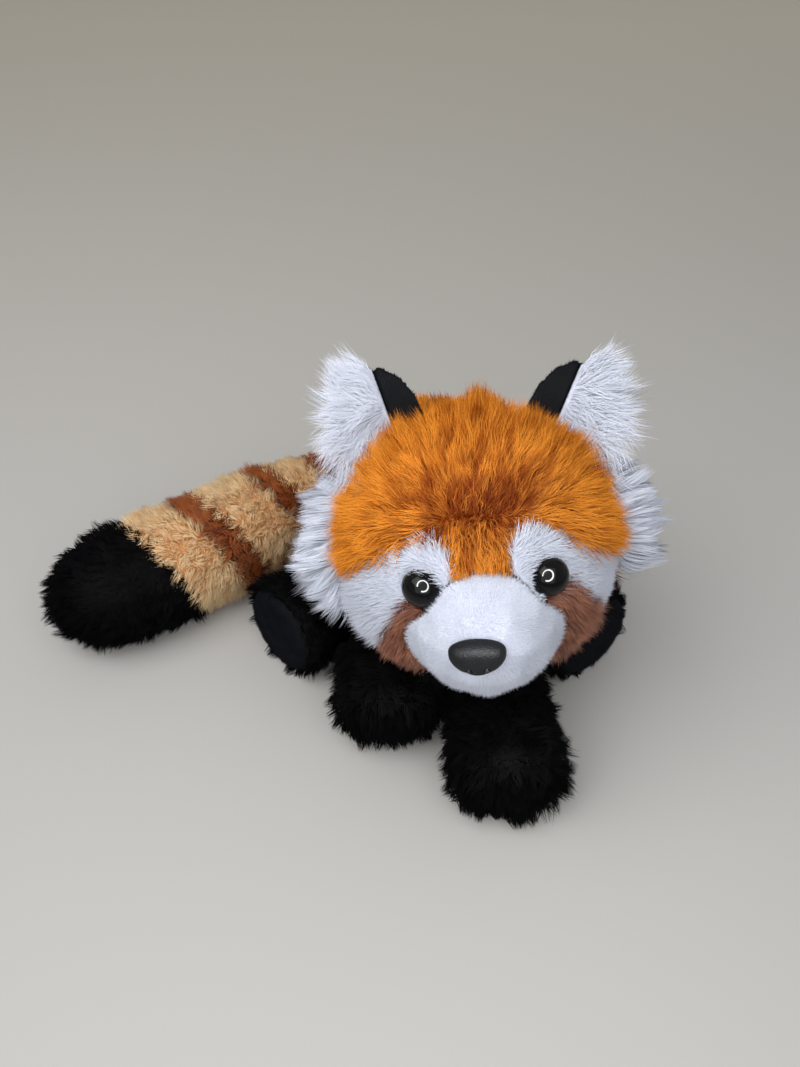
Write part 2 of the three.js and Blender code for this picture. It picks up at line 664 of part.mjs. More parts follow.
function legProfile(pawRadius, length) {
  const points = [];
  for (const angle of [-90, -60, -30, 0]) {
    const out = LEG_ROOT_RADIUS * Math.cos(radians(angle));
    points.push(new THREE.Vector2(out, LEG_ROOT_RADIUS * Math.sin(radians(angle))));
  }
  points[0].x = 0;
  const straight = length - PAW_EDGE;
  points.push(new THREE.Vector2(THREE.MathUtils.lerp(LEG_ROOT_RADIUS, pawRadius, 0.6), straight * 0.5));
  for (const angle of [0, 30, 60, 90]) {
    const out = pawRadius - PAW_EDGE + PAW_EDGE * Math.cos(radians(angle));
    points.push(new THREE.Vector2(out, straight + PAW_EDGE * Math.sin(radians(angle))));
  }
  points.push(new THREE.Vector2(0, length + 0.8));
  return points;
}

for (const leg of LEGS) {
  const root = vector(leg.root);
  const along = vector(leg.sole).sub(root);
  const length = along.length();
  along.normalize();
  const form = turned(legProfile(leg.pawRadius, length), LEG_AROUND, root, along);
  const end = root.dot(along) + length - SOLE_THICKNESS;
  const outer = solidOf(form).intersect(aboveFloor);
  const inner = solidOf(drawnIn(form, PILE)).intersect(beyond(UP, PILE));
  const cover = outer.subtract(inner).subtract(beyond(along, end - SEAM));
  const filling = solidOf(drawnIn(form, PILE + LINING)).intersect(beyond(UP, PILE + LINING));
  addPiece(`${leg.name}_cover`, cover, COLOURS.black);
  addPiece(`${leg.name}_sole`, outer.intersect(beyond(along, end)), COLOURS.black);
  addPiece(`${leg.name}_filling`, filling.subtract(beyond(along, end - LINING)), COLOURS.filling);
}

// Tail

const tailOuter = solidOf(tailForm).intersect(aboveFloor);
const tailShell = tailOuter.subtract(solidOf(drawnIn(tailForm, PILE)).intersect(beyond(UP, PILE)));
const tailInner = solidOf(drawnIn(tailForm, PILE + LINING));
addPiece("tail_filling", tailInner.intersect(beyond(UP, PILE + LINING)), COLOURS.filling);

// The plane between two bands, leaning so that the band lies further out on top
function bandPlane(along, gap, sign) {
  const share = Math.min((along + tailStart) / tailLength, 1);
  const forward = tailCurve.getTangentAt(share);
  const lean = new THREE.Vector3(0, 1, 1).normalize();
  const normal = forward.clone().addScaledVector(lean, -TAIL_LEAN).normalize();
  const distance = tailCurve.getPointAt(share).dot(normal);
  return beyond(normal.multiplyScalar(sign), sign * distance + gap);
}

const bandColours = { tan: COLOURS.tan, brown: COLOURS.stripe, tip: COLOURS.black };
let bandFrom = null;
for (const band of TAIL_BANDS) {
  let cover = tailShell;
  if (bandFrom !== null) {
    cover = cover.intersect(bandPlane(bandFrom, SEAM / 2, 1));
  }
  if (band.to !== undefined) {
    cover = cover.intersect(bandPlane(band.to, SEAM / 2, -1));
  }
  bandFrom = band.to;
  addPiece(band.name, cover, bandColours[band.name.split("_")[1]]);
}

export default object;
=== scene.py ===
"""A plush red panda that lies on its belly: its covers, their pile, its eyes and nose, and the studio."""

import math
from dataclasses import dataclass, replace
from functools import cache

import bmesh
import bpy
import numpy as np
from mathutils import Matrix, Vector, kdtree


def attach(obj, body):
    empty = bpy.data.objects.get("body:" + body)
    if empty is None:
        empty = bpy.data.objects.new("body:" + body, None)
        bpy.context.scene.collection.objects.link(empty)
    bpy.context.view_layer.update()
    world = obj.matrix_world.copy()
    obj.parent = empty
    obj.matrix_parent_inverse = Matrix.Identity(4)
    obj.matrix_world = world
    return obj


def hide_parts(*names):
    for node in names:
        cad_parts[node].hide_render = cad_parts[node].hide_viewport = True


bl_info = {
    "name": "Plush red panda",
    "version": (1, 0, 0),
    "blender": (4, 5, 0),
    "location": "3D View > Sidebar > Plush",
    "description": "Dresses the frame of a plush red panda in covers and pile, with eyes, nose and studio",
    "category": "Mesh",
}

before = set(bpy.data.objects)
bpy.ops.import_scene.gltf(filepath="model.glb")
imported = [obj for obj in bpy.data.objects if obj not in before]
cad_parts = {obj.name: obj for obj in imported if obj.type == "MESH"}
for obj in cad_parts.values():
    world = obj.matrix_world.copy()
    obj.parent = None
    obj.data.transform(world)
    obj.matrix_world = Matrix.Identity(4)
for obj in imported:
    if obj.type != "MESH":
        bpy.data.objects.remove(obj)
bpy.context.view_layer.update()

MM = 0.001
SIDES = {"left": -1, "right": 1}

# The head's place and turn, and what lies on it as azimuth and elevation in degrees
HEAD_CENTRE = np.array((9, -46, 79)) * MM
HEAD_TURN = np.array(Matrix.Rotation(math.radians(-10), 3, "X") @ Matrix.Rotation(math.radians(-6), 3, "Y"))
HEAD_RADIUS = 43 * MM
EYE_PLACES = {"left": (-26, 18), "right": (28.5, 17.5)}
NOSE_PLACE = (-3.6, 1.5)
NOSE_REACH = 54 * MM
PARTING = ((-22, 46), (20, 45))
BROWS = {"left": (-22, 28), "right": (21, 35)}
JOWL = (-60, -14)

# How wide the tufts at the brows and the jowl are, and how much they add to the length of the plush there
BROW_TUFT = (7 * MM, 0.9)
JOWL_TUFT = (13 * MM, 1.4)
# How far the crown's pile lies down, from 0 for upright: above the parting, by the ears and below the
# parting, each as the distance that would give 1 and the limits
COMB_ABOVE = (80 * MM, 0.12, 0.34)
COMB_BY_EARS = (16 * MM, 0.3, 1)
COMB_BELOW = (10 * MM, 0.4, 0.8)
# How pile is trimmed by other panels: the share of its length right beside one, and the distance that adds 1
TEAR_BY_MUZZLE = (0.35, 8 * MM)
CROWN_BY_MUZZLE = (0.2, 9 * MM)
CROWN_BY_BROWS = (-0.15, 11 * MM)
CROWN_BY_EARS = (0.12, 14 * MM)
CROWN_LIMITS = (0.25, 1.15)
# The crown's colour above and below the parting, how far the parting's dark band reaches on these two sides,
# and how dark the parting and the ridge behind it are: at the parting this is painted shade where the fur
# parts, over a rustier tone; at the ridge it is a rustier tone only
CROWN_LIGHT = (0.16, 0.3)
SHADE_AND_RUST_REACH = (10 * MM, 4.5 * MM)
PARTING_SHADE_AND_RUST = 0.5
RIDGE_RUST = 0.2
RIDGE_REACH = 10 * MM

# The seam through the ears leans back; each ear's place down from the top along it and its splay, in degrees
EAR_SEAM_TILT = math.radians(32)
EARS = {"left": (35, 15), "right": (42, 28)}
RUFF_FALL = {"left": 0.5, "right": 0.0}
# An ear's pile fans out over a height and lies level at a share of it; it runs outward and upward this far
FAN_HEIGHT = 20 * MM
FAN_LEVEL = 0.6
FAN_OUT = 0.8
FAN_UP = 1.6
# Near its root an ear's pile is longer by a share, up to a height, and at the lining it is cut to a share
EAR_ROOT_GAIN = 0.7
EAR_ROOT_HEIGHT = 14 * MM
EAR_BY_LINING = (3 * MM, 0.4)
# A ruff's pile is shorter by a share at its top, from a height above its middle
RUFF_TOP_LOSS = 0.15
RUFF_TOP_HEIGHT = 14 * MM

BODY_CENTRE = np.array((0, 13, 34)) * MM
BODY_RADII = np.array((39, 61, 38)) * MM
NECK_CENTRE = np.array((4.5, -14.5, 50)) * MM

# Each leg from the middle of its root to its sole
LEGS = {
    "foreleg_left": ((-21.5, -43, 23), (-19, -76, 16.6)),
    "foreleg_right": ((19.5, -51.5, 16.2), (21, -103, 16.9)),
    "hindleg_left": ((-39.5, -13, 17), (-65, -37, 19.6)),
    "hindleg_right": ((43.6, -16.8, 17), (60.5, -40.5, 19.6)),
}
TAIL_ROUTE = np.array((
    (-10.5, 64.5, 23),
    (-20, 60.5, 22.5),
    (-42, 50, 22),
    (-63, 36, 21.5),
    (-84, 20, 21),
    (-117, -4, 21),
    (-154, -26, 21),
)) * MM
# How far round the tail's root the back's pile is longer, how many points of the tail's middle line each
# stretch of its route has, and how many of them stay bare inside the body
TAIL_GROOVE = 17 * MM
ROUTE_STEPS = 24
BARE_STEPS = 8
FLOOR_GAP = 0.4 * MM

# How strands stand: how deep they root, the share of their width that they lose below their tips, how round
# they are lit, how wide each lies on the map, and the size of the patches over which their way, length, wave
# and colour change
ROOT_DEPTH = 0.3 * MM
STRAND_TAPER = 0.55
ROUNDNESS = 0.45
MAP_WIDTH = 0.02
SWING_PATCH = 9 * MM
LENGTH_PATCH = 14 * MM
WAVE_PATCH = 11 * MM
COLOUR_PATCH = 7 * MM
# A groom counts in full from 1 / GROOM_GAIN of its length along the surface; without it strands swing more
GROOM_GAIN = 1.4
LOOSE_SWING = 1.6
# How many times their spread lengths differ at most, how far waves also run along the groom, and the power
# with which a tuft draws together towards its tip
LENGTH_LIMIT = 1.8
WAVE_ALONG = 0.6
CLUMP_POWER = 1.3
# How much of a strand's swing, length, lean and wave comes from its patch and how much is its own
PATCH_SWING = 1.3
OWN_SWING = 0.7
PATCH_LENGTH = 0.14
OWN_LEAN = 0.6
PATCH_WAVE = 1.6 * math.pi
OWN_WAVE = 0.35
# How much strands differ in width and colour from one to the next, and what the map keeps free at its edges
WIDTH_RANGE = (0.75, 1.25)
OWN_COLOUR = 0.12
COLOUR_LIMITS = (0.02, 0.97)
MAP_MARGIN = 0.01

# Each pile's painted shade at its roots (the share of its deep colour left there, standing in for the shade
# down in the pile), its sheen and its gloss
PILE_FINISHES = {
    "orange": (0.68, 0.0, 0.03),
    "white": (0.92, 0.0, 0.15),
    "brown": (0.55, 0.05, 0.15),
    "black": (0.55, 0.0, 0.02),
    "tan": (0.55, 0.1, 0.1),
    "stripe": (0.55, 0.05, 0.1),
    "velour": (0.55, 0.0, 0.03),
}

# The large soft lamp, what the lamps aim at, and the ring lamp round the camera that shows in the eyes
KEY_PLACE = Vector((-0.45, -0.25, 0.8))
LAMP_AIM = Vector((0, -0.03, 0.05))
RING_RADII = (0.148, 0.112)
RING_ENDS = (-1.9, 3.3)
RING_STEPS = 59
RING_GLOW = 70.0
FLOOR_RADIUS = 3


def tone(red, green, blue):
    """The linear colour of a screen colour that is given from 0 to 255."""
    levels = (level / 255 for level in (red, green, blue))
    return tuple(x / 12.92 if x <= 0.04045 else ((x + 0.055) / 1.055) ** 2.4 for x in levels)


def pile_length(title, size):
    """A property for the length of one kind of pile, in millimetres."""
    words = f"Length of the {title.lower()} from its backing to its tips"
    return bpy.props.FloatProperty(
        name=title, description=words, default=size * MM, min=0.0005, max=0.03, unit="LENGTH",
        subtype="DISTANCE",
    )


def screen_colour(title, words, shade):
    """A property for a colour, given as a screen colour."""
    return bpy.props.FloatVectorProperty(
        name=title, description=words, default=tone(*shade), size=3, min=0, max=1, subtype="COLOR"
    )


def amount(title, words, size, most, **kind):
    """A property for a number that is never below 0."""
    return bpy.props.FloatProperty(name=title, description=words, default=size, min=0, max=most, **kind)


class PlushPileSizes(bpy.types.PropertyGroup):
    """Lengths of the pile on each part."""

    crown: pile_length("Crown pile", 9.5)
    muzzle: pile_length("Muzzle plush", 1.7)
    cheek: pile_length("Cheek plush", 2.8)
    tear: pile_length("Tear strip pile", 6)
    ear: pile_length("Ear pile", 12)
    ruff: pile_length("Ruff pile", 12)
    body: pile_length("Body pile", 7.5)
    leg: pile_length("Foreleg pile", 7.5)
    thigh: pile_length("Hind leg pile", 5)
    paw: pile_length("Forepaw pile", 6.5)
    tail: pile_length("Tail pile", 6.5)
    velour: pile_length("Velour nap", 1.1)


class PlushColours(bpy.types.PropertyGroup):
    """Deep and light colours that the strands of each pile run between."""

    orange_deep: screen_colour("Orange, deep", "Rusty strands of the crown and back", (148, 62, 0))
    orange_light: screen_colour("Orange, light", "Sunlit strands of the crown and back", (255, 162, 55))
    white_deep: screen_colour("White, deep", "Shaded strands of the face, ears and ruffs", (208, 213, 227))
    white_light: screen_colour("White, light", "Bright strands of the face, ears and ruffs", (226, 230, 243))
    brown_deep: screen_colour("Brown, deep", "Dark strands of the tear strips", (98, 50, 36))
    brown_light: screen_colour("Brown, light", "Light strands of the tear strips", (190, 130, 100))
    black_deep: screen_colour("Black, deep", "Dark strands of the legs and tail tip", (2, 2, 3))
    black_light: screen_colour("Black, light", "Light strands of the legs and tail tip", (14, 14, 17))
    tan_deep: screen_colour("Tan, deep", "Dark strands of the tail", (225, 162, 102))
    tan_light: screen_colour("Tan, light", "Light strands of the tail", (255, 225, 175))
    stripe_deep: screen_colour("Stripe, deep", "Dark strands of the tail's stripes", (116, 52, 14))
    stripe_light: screen_colour("Stripe, light", "Light strands of the tail's stripes", (186, 100, 38))
    velour_deep: screen_colour("Velour, deep", "Dark nap of the soles and ear linings", (10, 11, 14))
    velour_light: screen_colour("Velour, light", "Light nap of the soles and ear linings", (30, 33, 42))


class PlushStudio(bpy.types.PropertyGroup):
    """The camera and the light."""

    camera_place: bpy.props.FloatVectorProperty(
        name="Camera place", description="Where the camera stands", default=(-0.016, -0.232, 0.2705), size=3,
        subtype="TRANSLATION", unit="LENGTH",
    )
    camera_dip: bpy.props.FloatProperty(
        name="Camera dip", description="How far the camera looks down from level", default=math.radians(45),
        unit="ROTATION", subtype="ANGLE",
    )
    camera_lens: bpy.props.FloatProperty(
        name="Lens", description="Focal length on a 36 mm frame", default=27, min=1, max=200
    )
    # The floor's near and far colours are painted light and shade: darker in front, lighter and warmer behind
    floor_near_painted_shade: screen_colour("Floor, near", "Plain pale floor in front of the toy", (181, 179, 175))
    floor_far_painted_light: screen_colour("Floor, far", "The floor a metre behind the toy", (206, 198, 181))
    room_colour: screen_colour("Room", "Soft light from all round", (236, 238, 242))
    room_level: amount("Room level", "Strength of the light from all round", 0.54, 5)
    key_power: amount("Key power", "Power of the large soft lamp", 4.1, 200, subtype="POWER")
    front_power: amount("Front power", "Power of the soft lamp at the camera", 0.7, 200, subtype="POWER")


class Value:
    """A shader socket that takes arithmetic: each operator adds a Math node."""

    def __init__(self, finish, socket):
        self.finish = finish
        self.socket = socket

    def _math(self, operation, first, second):
        return self.finish.node("ShaderNodeMath", {"operation": operation}, {0: first, 1: second})

    def __add__(self, other):
        return self._math("ADD", self, other)

    __radd__ = __add__

    def __mul__(self, other):
        return self._math("MULTIPLY", self, other)

    __rmul__ = __mul__

    def __sub__(self, other):
        return self._math("SUBTRACT", self, other)

    def __rsub__(self, other):
        return self._math("SUBTRACT", other, self)


class Finish:
    """One material and its nodes."""

    def __init__(self, name, **constants):
        self.material = bpy.data.materials.new(name)
        self.material.use_nodes = True
        self.tree = self.material.node_tree
        self.shader = self.tree.nodes["Principled BSDF"]
        for socket, value in constants.items():
            self.shader.inputs[socket.replace("_", " ")].default_value = value

    def node(self, kind, settings=None, inputs=None, output=0):
        """Adds a node, sets it up, fills its sockets and returns one of its outputs."""
        made = self.tree.nodes.new(kind)
        for key, value in (settings or {}).items():
            if key == "stops":
                self._set_stops(made.color_ramp, value)
            else:
                setattr(made, key, value)
        for key, value in (inputs or {}).items():
            if isinstance(value, Value):
                self.tree.links.new(value.socket, made.inputs[key])
            else:
                made.inputs[key].default_value = value
        return Value(self, made.outputs[output])

    @staticmethod
    def _set_stops(ramp, stops):
        while len(ramp.elements) < len(stops):
            ramp.elements.new(0.5)
        for element, (place, colour) in zip(ramp.elements, stops):
            element.position = place
            element.color = (*colour, 1)

    def place(self):
        """Where a point lies on the piece."""
        return self.node("ShaderNodeTexCoord", output=3)

    def noise(self, scale, detail):
        """A cloudy value over the piece."""
        sockets = {"Vector": self.place(), "Scale": scale, "Detail": detail}
        return self.node("ShaderNodeTexNoise", None, sockets)

    def ramp(self, value, *stops):
        """A colour that runs through some stops as a value rises."""
        return self.node("ShaderNodeValToRGB", {"stops": stops}, {0: value})

    def feed(self, socket, value):
        """Links a value that changes over the surface to the shader."""
        self.tree.links.new(value.socket, self.shader.inputs[socket])

    def bump(self, height, strength, distance):
        """Raises the surface by a height."""
        sockets = {"Strength": strength, "Distance": distance, "Height": height}
        self.feed("Normal", self.node("ShaderNodeBump", None, sockets))


def scaled(colour, share):
    """A colour made darker or lighter."""
    return tuple(min(level * share, 1) for level in colour)


def pile_finish(name, deep, light, painted_root_shade, sheen, gloss):
    """Pile strands: across the map one strand differs from the next, and up the map each runs from painted
    shade at its root to its tip.
    """
    finish = Finish(name, Roughness=0.62, Specular_IOR_Level=gloss, Sheen_Weight=sheen, Sheen_Roughness=0.4)
    place = finish.node("ShaderNodeUVMap", {"uv_map": "OFBake"})
    across = finish.node("ShaderNodeSeparateXYZ", None, {0: place}, 0)
    upward = finish.node("ShaderNodeSeparateXYZ", None, {0: place}, 1)
    middle = tuple((dark + bright) / 2 for dark, bright in zip(deep, light))
    strand = finish.ramp(across, (0, deep), (0.55, middle), (1, light))
    # Painted shade: a strand starts at its deep colour darkened at the root and reaches its own colour four
    # fifths of the way up, standing in for the shade down in the pile
    height = {0: upward * 1.25, 1: 0.8}
    depth = finish.node("ShaderNodeMath", {"operation": "POWER", "use_clamp": True}, height)
    root = (*scaled(deep, painted_root_shade), 1)
    colour = finish.node("ShaderNodeMix", {"data_type": "RGBA"}, {0: depth, 6: root, 7: strand}, output=2)
    finish.feed("Base Color", colour)
    return finish.material


def cloth_finish(name, colour, weave, roughness, sheen):
    """Knitted backing or velour: a fine uneven nap over a soft change of shade."""
    finish = Finish(name, Specular_IOR_Level=0.04, Sheen_Weight=sheen, Sheen_Roughness=0.45)
    nap = finish.noise(1 / weave, 3.0)
    shade = nap * 0.5 + finish.noise(90.0, 2.0) * 0.5
    finish.feed("Base Color", finish.ramp(shade, (0.25, scaled(colour, 0.7)), (0.75, scaled(colour, 1.3))))
    finish.feed("Roughness", roughness - 0.1 + nap * 0.2)
    finish.bump(nap, 0.35, 0.4 * MM)
    return finish.material


def link(thing):
    bpy.context.scene.collection.objects.link(thing)
    return thing


def settle(thing):
    """Applies the modifiers of a piece."""
    shape = thing.evaluated_get(bpy.context.evaluated_depsgraph_get())
    final = bpy.data.meshes.new_from_object(shape)
    thing.modifiers.clear()
    thing.data = final
    final.name = thing.name


def finished(form, name):
    """A piece from a bmesh, with smooth faces."""
    mesh = bpy.data.meshes.new(name)
    form.to_mesh(mesh)
    form.free()
    mesh.shade_smooth()
    return link(bpy.data.objects.new(name, mesh))


@dataclass
class Cover:
    """A sewn cover, with what its pile shares with it."""

    piece: bpy.types.Object
    name: str
    body: str
    slot: str
    look: str


def sew_cover(name, node, body, slot, look, thread=1.2 * MM, soften=6, swell=0, ending="cloth"):
    """A cover in the form of its CAD panel, evened out, its cut edges rounded into seams, and swelled."""
    form = bmesh.new()
    form.from_mesh(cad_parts[node].data)
    bmesh.ops.remove_doubles(form, verts=form.verts, dist=0.001 * MM)
    cover = finished(form, f"{name}_{ending}")
    even = cover.modifiers.new("Even cloth", "REMESH")
    even.mode = "VOXEL"
    even.voxel_size = thread
    soft = cover.modifiers.new("Soft edges", "SMOOTH")
    soft.factor = 0.5
    soft.iterations = soften
    if swell:
        fuller = cover.modifiers.new("Swell", "DISPLACE")
        fuller.mid_level = 0
        fuller.strength = swell
    settle(cover)
    cover.data.materials.clear()
    cover.data.materials.append(finishes()["cloth", look])
    cover.data.shade_smooth()
    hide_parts(node)
    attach(cover, body)
    return Cover(cover, name, body, slot, look)


@dataclass
class Pile:
    """How one kind of pile stands. Lengths are in metres, tilts in degrees from upright.

    A clump is how many strands make a tuft and how far they draw together, a wave is its size and its turns.
    Streak, tuft and shade change the colour; trim and tint change length and colour from place to place.
    """

    length: float
    density: float
    width: float = 0.42 * MM
    tilt: tuple = (30, 60)
    steps: int = 2
    clump: tuple = (0, 0)
    wave: tuple = (0, 0)
    stray: float = 14
    droop: float = 0.0
    streak: float = 0.3
    tuft: float = 0.12
    spread: float = 0.22
    shade: float = 0.0
    trim: callable = None
    tint: callable = None


def unit(rows):
    return rows / np.maximum(np.linalg.norm(rows, axis=-1, keepdims=True), 1e-12)


def ripple(points, size, seed):
    """A smooth field from -1 to 1 over space, from a few plane waves in seeded directions."""
    rng = np.random.default_rng(seed)
    total = np.zeros(len(points))
    for _ in range(7):
        heading = unit(rng.normal(size=3)) * (2 * math.pi / size) * rng.uniform(0.6, 1.5)
        total += np.sin(points @ heading + rng.uniform(0, 2 * math.pi))
    return np.clip(total / 3.2, -1, 1)


def strand_form(steps):
    """One upright strand a unit tall: its corners, its triangles and where their corners lie on the map."""
    form = bmesh.new()
    bmesh.ops.create_cone(form, cap_ends=False, segments=3, radius1=0.5, radius2=0, depth=1)
    bmesh.ops.translate(form, verts=form.verts, vec=(0, 0, 0.5))
    for step in range(1, steps):
        whole = form.verts[:] + form.edges[:] + form.faces[:]
        bmesh.ops.bisect_plane(form, geom=whole, plane_co=(0, 0, step / steps), plane_no=(0, 0, 1))
    for corner in form.verts:
        if 0.01 < corner.co.z < 0.99:
            corner.co.xy *= (1 - STRAND_TAPER * corner.co.z) / (1 - corner.co.z)
    bmesh.ops.triangulate(form, faces=form.faces)
    form.verts.index_update()
    corners = np.array([corner.co for corner in form.verts])
    faces = np.array([[corner.index for corner in face.verts] for face in form.faces])
    form.free()
    turn = np.arctan2(corners[:, 1], corners[:, 0]) / (2 * math.pi)
    across, upward = turn[faces], corners[faces][:, :, 2]
    top = upward > 0.99
    middle = np.where(top, np.nan, across)
    wide = np.nanmax(middle, axis=1) - np.nanmin(middle, axis=1) > 0.5
    across = np.where(wide[:, None] & (across < 0), across + 1, across)
    across = np.where(top, np.nanmean(np.where(top, np.nan, across), axis=1)[:, None], across)
    return corners, faces, across, upward


def rows_of(items, field, kind=np.float32):
    """One field of a mesh's items, as rows of three."""
    rows = np.empty(len(items) * 3, kind)
    items.foreach_get(field, rows)
    return rows.reshape(-1, 3)


def points_of(mesh):
    """The corners of a mesh."""
    return rows_of(mesh.vertices, "co").astype(float)


def scatter(mesh, density, outside, rng):
    """Even random places on the outer faces of a mesh, with the normal at each."""
    mesh.calc_loop_triangles()
    corners = rows_of(mesh.loop_triangles, "vertices", np.int32)
    points = points_of(mesh)
    leans = rows_of(mesh.vertex_normals, "vector").astype(float)
    keep = outside(points[corners].mean(1), unit(leans[corners].mean(1)))
    corners = corners[keep]
    a, b, c = (points[corners[:, i]] for i in range(3))
    reach = np.cumsum(np.linalg.norm(np.cross(b - a, c - a), axis=1) / 2)
    count = int(reach[-1] * density)
    pick = np.searchsorted(reach, (np.arange(count) + rng.random(count)) / count * reach[-1])
    pick = np.minimum(pick, len(corners) - 1)
    first, second = rng.random((2, count))
    over = first + second > 1
    first[over], second[over] = 1 - first[over], 1 - second[over]
    share = np.stack((1 - first - second, first, second), axis=1)[:, :, None]
    return (points[corners[pick]] * share).sum(1), unit((leans[corners[pick]] * share).sum(1))


def tree_of(points):
    """A tree that finds the nearest of some points."""
    tree = kdtree.KDTree(len(points))
    for index, point in enumerate(points):
        tree.insert(point, index)
    tree.balance()
    return tree


def nearest(places, leaders):
    """For each place, which leader lies nearest to it."""
    tree = tree_of(leaders)
    return np.array([tree.find(place)[1] for place in places])


def distance_to(*pieces):
    """A measure of how far places lie from some pieces."""
    tree = tree_of(np.concatenate([points_of(piece.data) for piece in pieces]))
    return lambda places: np.array([tree.find(place)[2] for place in places])


def far_from(places, *spots):
    """How far places lie from the nearest of some spots."""
    return np.min([np.linalg.norm(places - spot, axis=1) for spot in spots], axis=0)


def rising(distance, reach, least=0, most=1):
    """A share that grows with distance to 1 at its reach, held between two limits."""
    return np.clip(distance / reach, least, most)


def regrown(distance, share, reach):
    """A length that is a share at no distance and grows by 1 over each reach."""
    return share + distance / reach


def nearness(distance, reach):
    """A share that is 1 at no distance and fades away over its reach."""
    return np.exp(-((distance / reach) ** 2))


def strand_spines(roots, normals, pile, groom, levels, leader, rng, seed):
    """The middle line of each strand, level by level, and the side that it is widest across.

    Strands stand upright where the groom has no way along the surface.
    """
    count = len(roots)
    heading = groom(roots, normals)
    heading = heading - (heading * normals).sum(1, keepdims=True) * normals
    strength = np.clip(GROOM_GAIN * np.linalg.norm(heading, axis=1), 0, 1)
    heading = unit(heading)
    side = np.cross(heading, normals)
    loose = LOOSE_SWING - (LOOSE_SWING - 1) * strength
    swing = ripple(roots, SWING_PATCH, seed + 1) * PATCH_SWING + rng.normal(size=count) * OWN_SWING
    swing *= np.radians(pile.stray) * loose
    heading = heading * np.cos(swing)[:, None] + side * np.sin(swing)[:, None]
    side = np.cross(heading, normals)
    length = pile.length * (1 + pile.spread * np.clip(rng.normal(size=count), -LENGTH_LIMIT, LENGTH_LIMIT))
    length *= 1 + PATCH_LENGTH * ripple(roots, LENGTH_PATCH, seed + 2)
    if pile.trim:
        length *= pile.trim(roots)
    lean = np.radians(rng.normal(size=count) * pile.stray * OWN_LEAN)
    phase = ripple(roots, WAVE_PATCH, seed + 3) * PATCH_WAVE + rng.normal(size=count) * OWN_WAVE
    spines = np.empty((count, len(levels), 3))
    spines[:, 0] = roots - normals * ROOT_DEPTH
    for step in range(1, len(levels)):
        middle = (levels[step] + levels[step - 1]) / 2
        tilt = np.radians(pile.tilt[0] + (pile.tilt[1] - pile.tilt[0]) * middle) * strength + lean
        way = normals * np.cos(tilt)[:, None] + heading * np.sin(tilt)[:, None]
        turn = phase + middle * pile.wave[1] * 2 * math.pi
        way = way + side * (pile.wave[0] * np.sin(turn))[:, None]
        way = way + heading * (WAVE_ALONG * pile.wave[0] * np.cos(turn))[:, None]
        way[:, 2] -= pile.droop * middle
        gap = (levels[step] - levels[step - 1]) * length
        spines[:, step] = spines[:, step - 1] + unit(way) * gap[:, None]
    for step in range(1, len(levels)):
        pull = pile.clump[1] * levels[step] ** CLUMP_POWER
        spines[:, step] += (spines[leader, step] - spines[:, step]) * pull
    spines[:, :, 2] = np.maximum(spines[:, :, 2], FLOOR_GAP)
    return spines, side


def gather(roots, size, rng):
    """For each strand, the one that leads its tuft."""
    count = len(roots)
    if size < 2:
        return np.arange(count)
    leaders = np.sort(rng.choice(count, max(int(count / size), 1), replace=False))
    return leaders[nearest(roots, roots[leaders])]


def grow_pile(cover, pile, groom, outside, seed, ending="pile"):
    """A pile of tapered strands that grows from the outer faces of a cover."""
    rng = np.random.default_rng(seed)
    roots, normals = scatter(cover.piece.data, pile.density, outside, rng)
    corners, faces, map_across, map_up = strand_form(pile.steps)
    levels = np.linspace(0, 1, pile.steps + 1)
    leader = gather(roots, pile.clump[0], rng)
    spines, side = strand_spines(roots, normals, pile, groom, levels, leader, rng, seed)
    count = len(roots)
    width = pile.width * rng.uniform(*WIDTH_RANGE, count)
    along = unit(spines[:, -1] - spines[:, 0])
    lift = unit(np.cross(along, side))
    level = np.rint(corners[:, 2] * pile.steps).astype(int)
    ring = corners[None, :, 0, None] * side[:, None] + corners[None, :, 1, None] * lift[:, None]
    places = spines[:, level] + ring * width[:, None, None]
    shine = unit(unit(ring) * ROUNDNESS + normals[:, None])
    variety = 0.5 + pile.shade + pile.streak * ripple(roots, COLOUR_PATCH, seed + 5)
    variety += pile.tuft * rng.normal(size=count)[leader] + OWN_COLOUR * rng.normal(size=count)
    if pile.tint:
        variety += pile.tint(roots)
    variety = np.clip(variety, *COLOUR_LIMITS)
    total = len(corners)
    name = f"{cover.name}_{ending}"
    mesh = bpy.data.meshes.new(name)
    mesh.vertices.add(count * total)
    mesh.vertices.foreach_set("co", places.astype(np.float32).ravel())
    mesh.loops.add(count * faces.size)
    indices = faces[None] + (np.arange(count) * total)[:, None, None]
    mesh.loops.foreach_set("vertex_index", indices.astype(np.int32).ravel())
    mesh.polygons.add(count * len(faces))
    mesh.polygons.foreach_set("loop_start", np.arange(0, count * faces.size, 3, dtype=np.int32))
    mesh.update(calc_edges=True)
    chart = np.empty((count, *faces.shape, 2), np.float32)
    chart[..., 0] = variety[:, None, None] + map_across[None] * MAP_WIDTH
    chart[..., 1] = MAP_MARGIN + (1 - 2 * MAP_MARGIN) * map_up[None]
    mesh.uv_layers.new(name="OFBake").uv.foreach_set("vector", chart.ravel())
    soft = mesh.attributes.new("custom_normal", "FLOAT_VECTOR", "POINT")
    soft.data.foreach_set("vector", shine.astype(np.float32).ravel())
    mesh.materials.append(finishes()["pile", cover.look])
    strands = link(bpy.data.objects.new(name, mesh))
    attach(strands, cover.body)


def face_way(azimuth, elevation):
    """A direction before the head's turn, from its azimuth and elevation in degrees."""
    turn, rise = math.radians(azimuth), math.radians(elevation)
    return np.array((math.sin(turn) * math.cos(rise), -math.cos(turn) * math.cos(rise), math.sin(rise)))


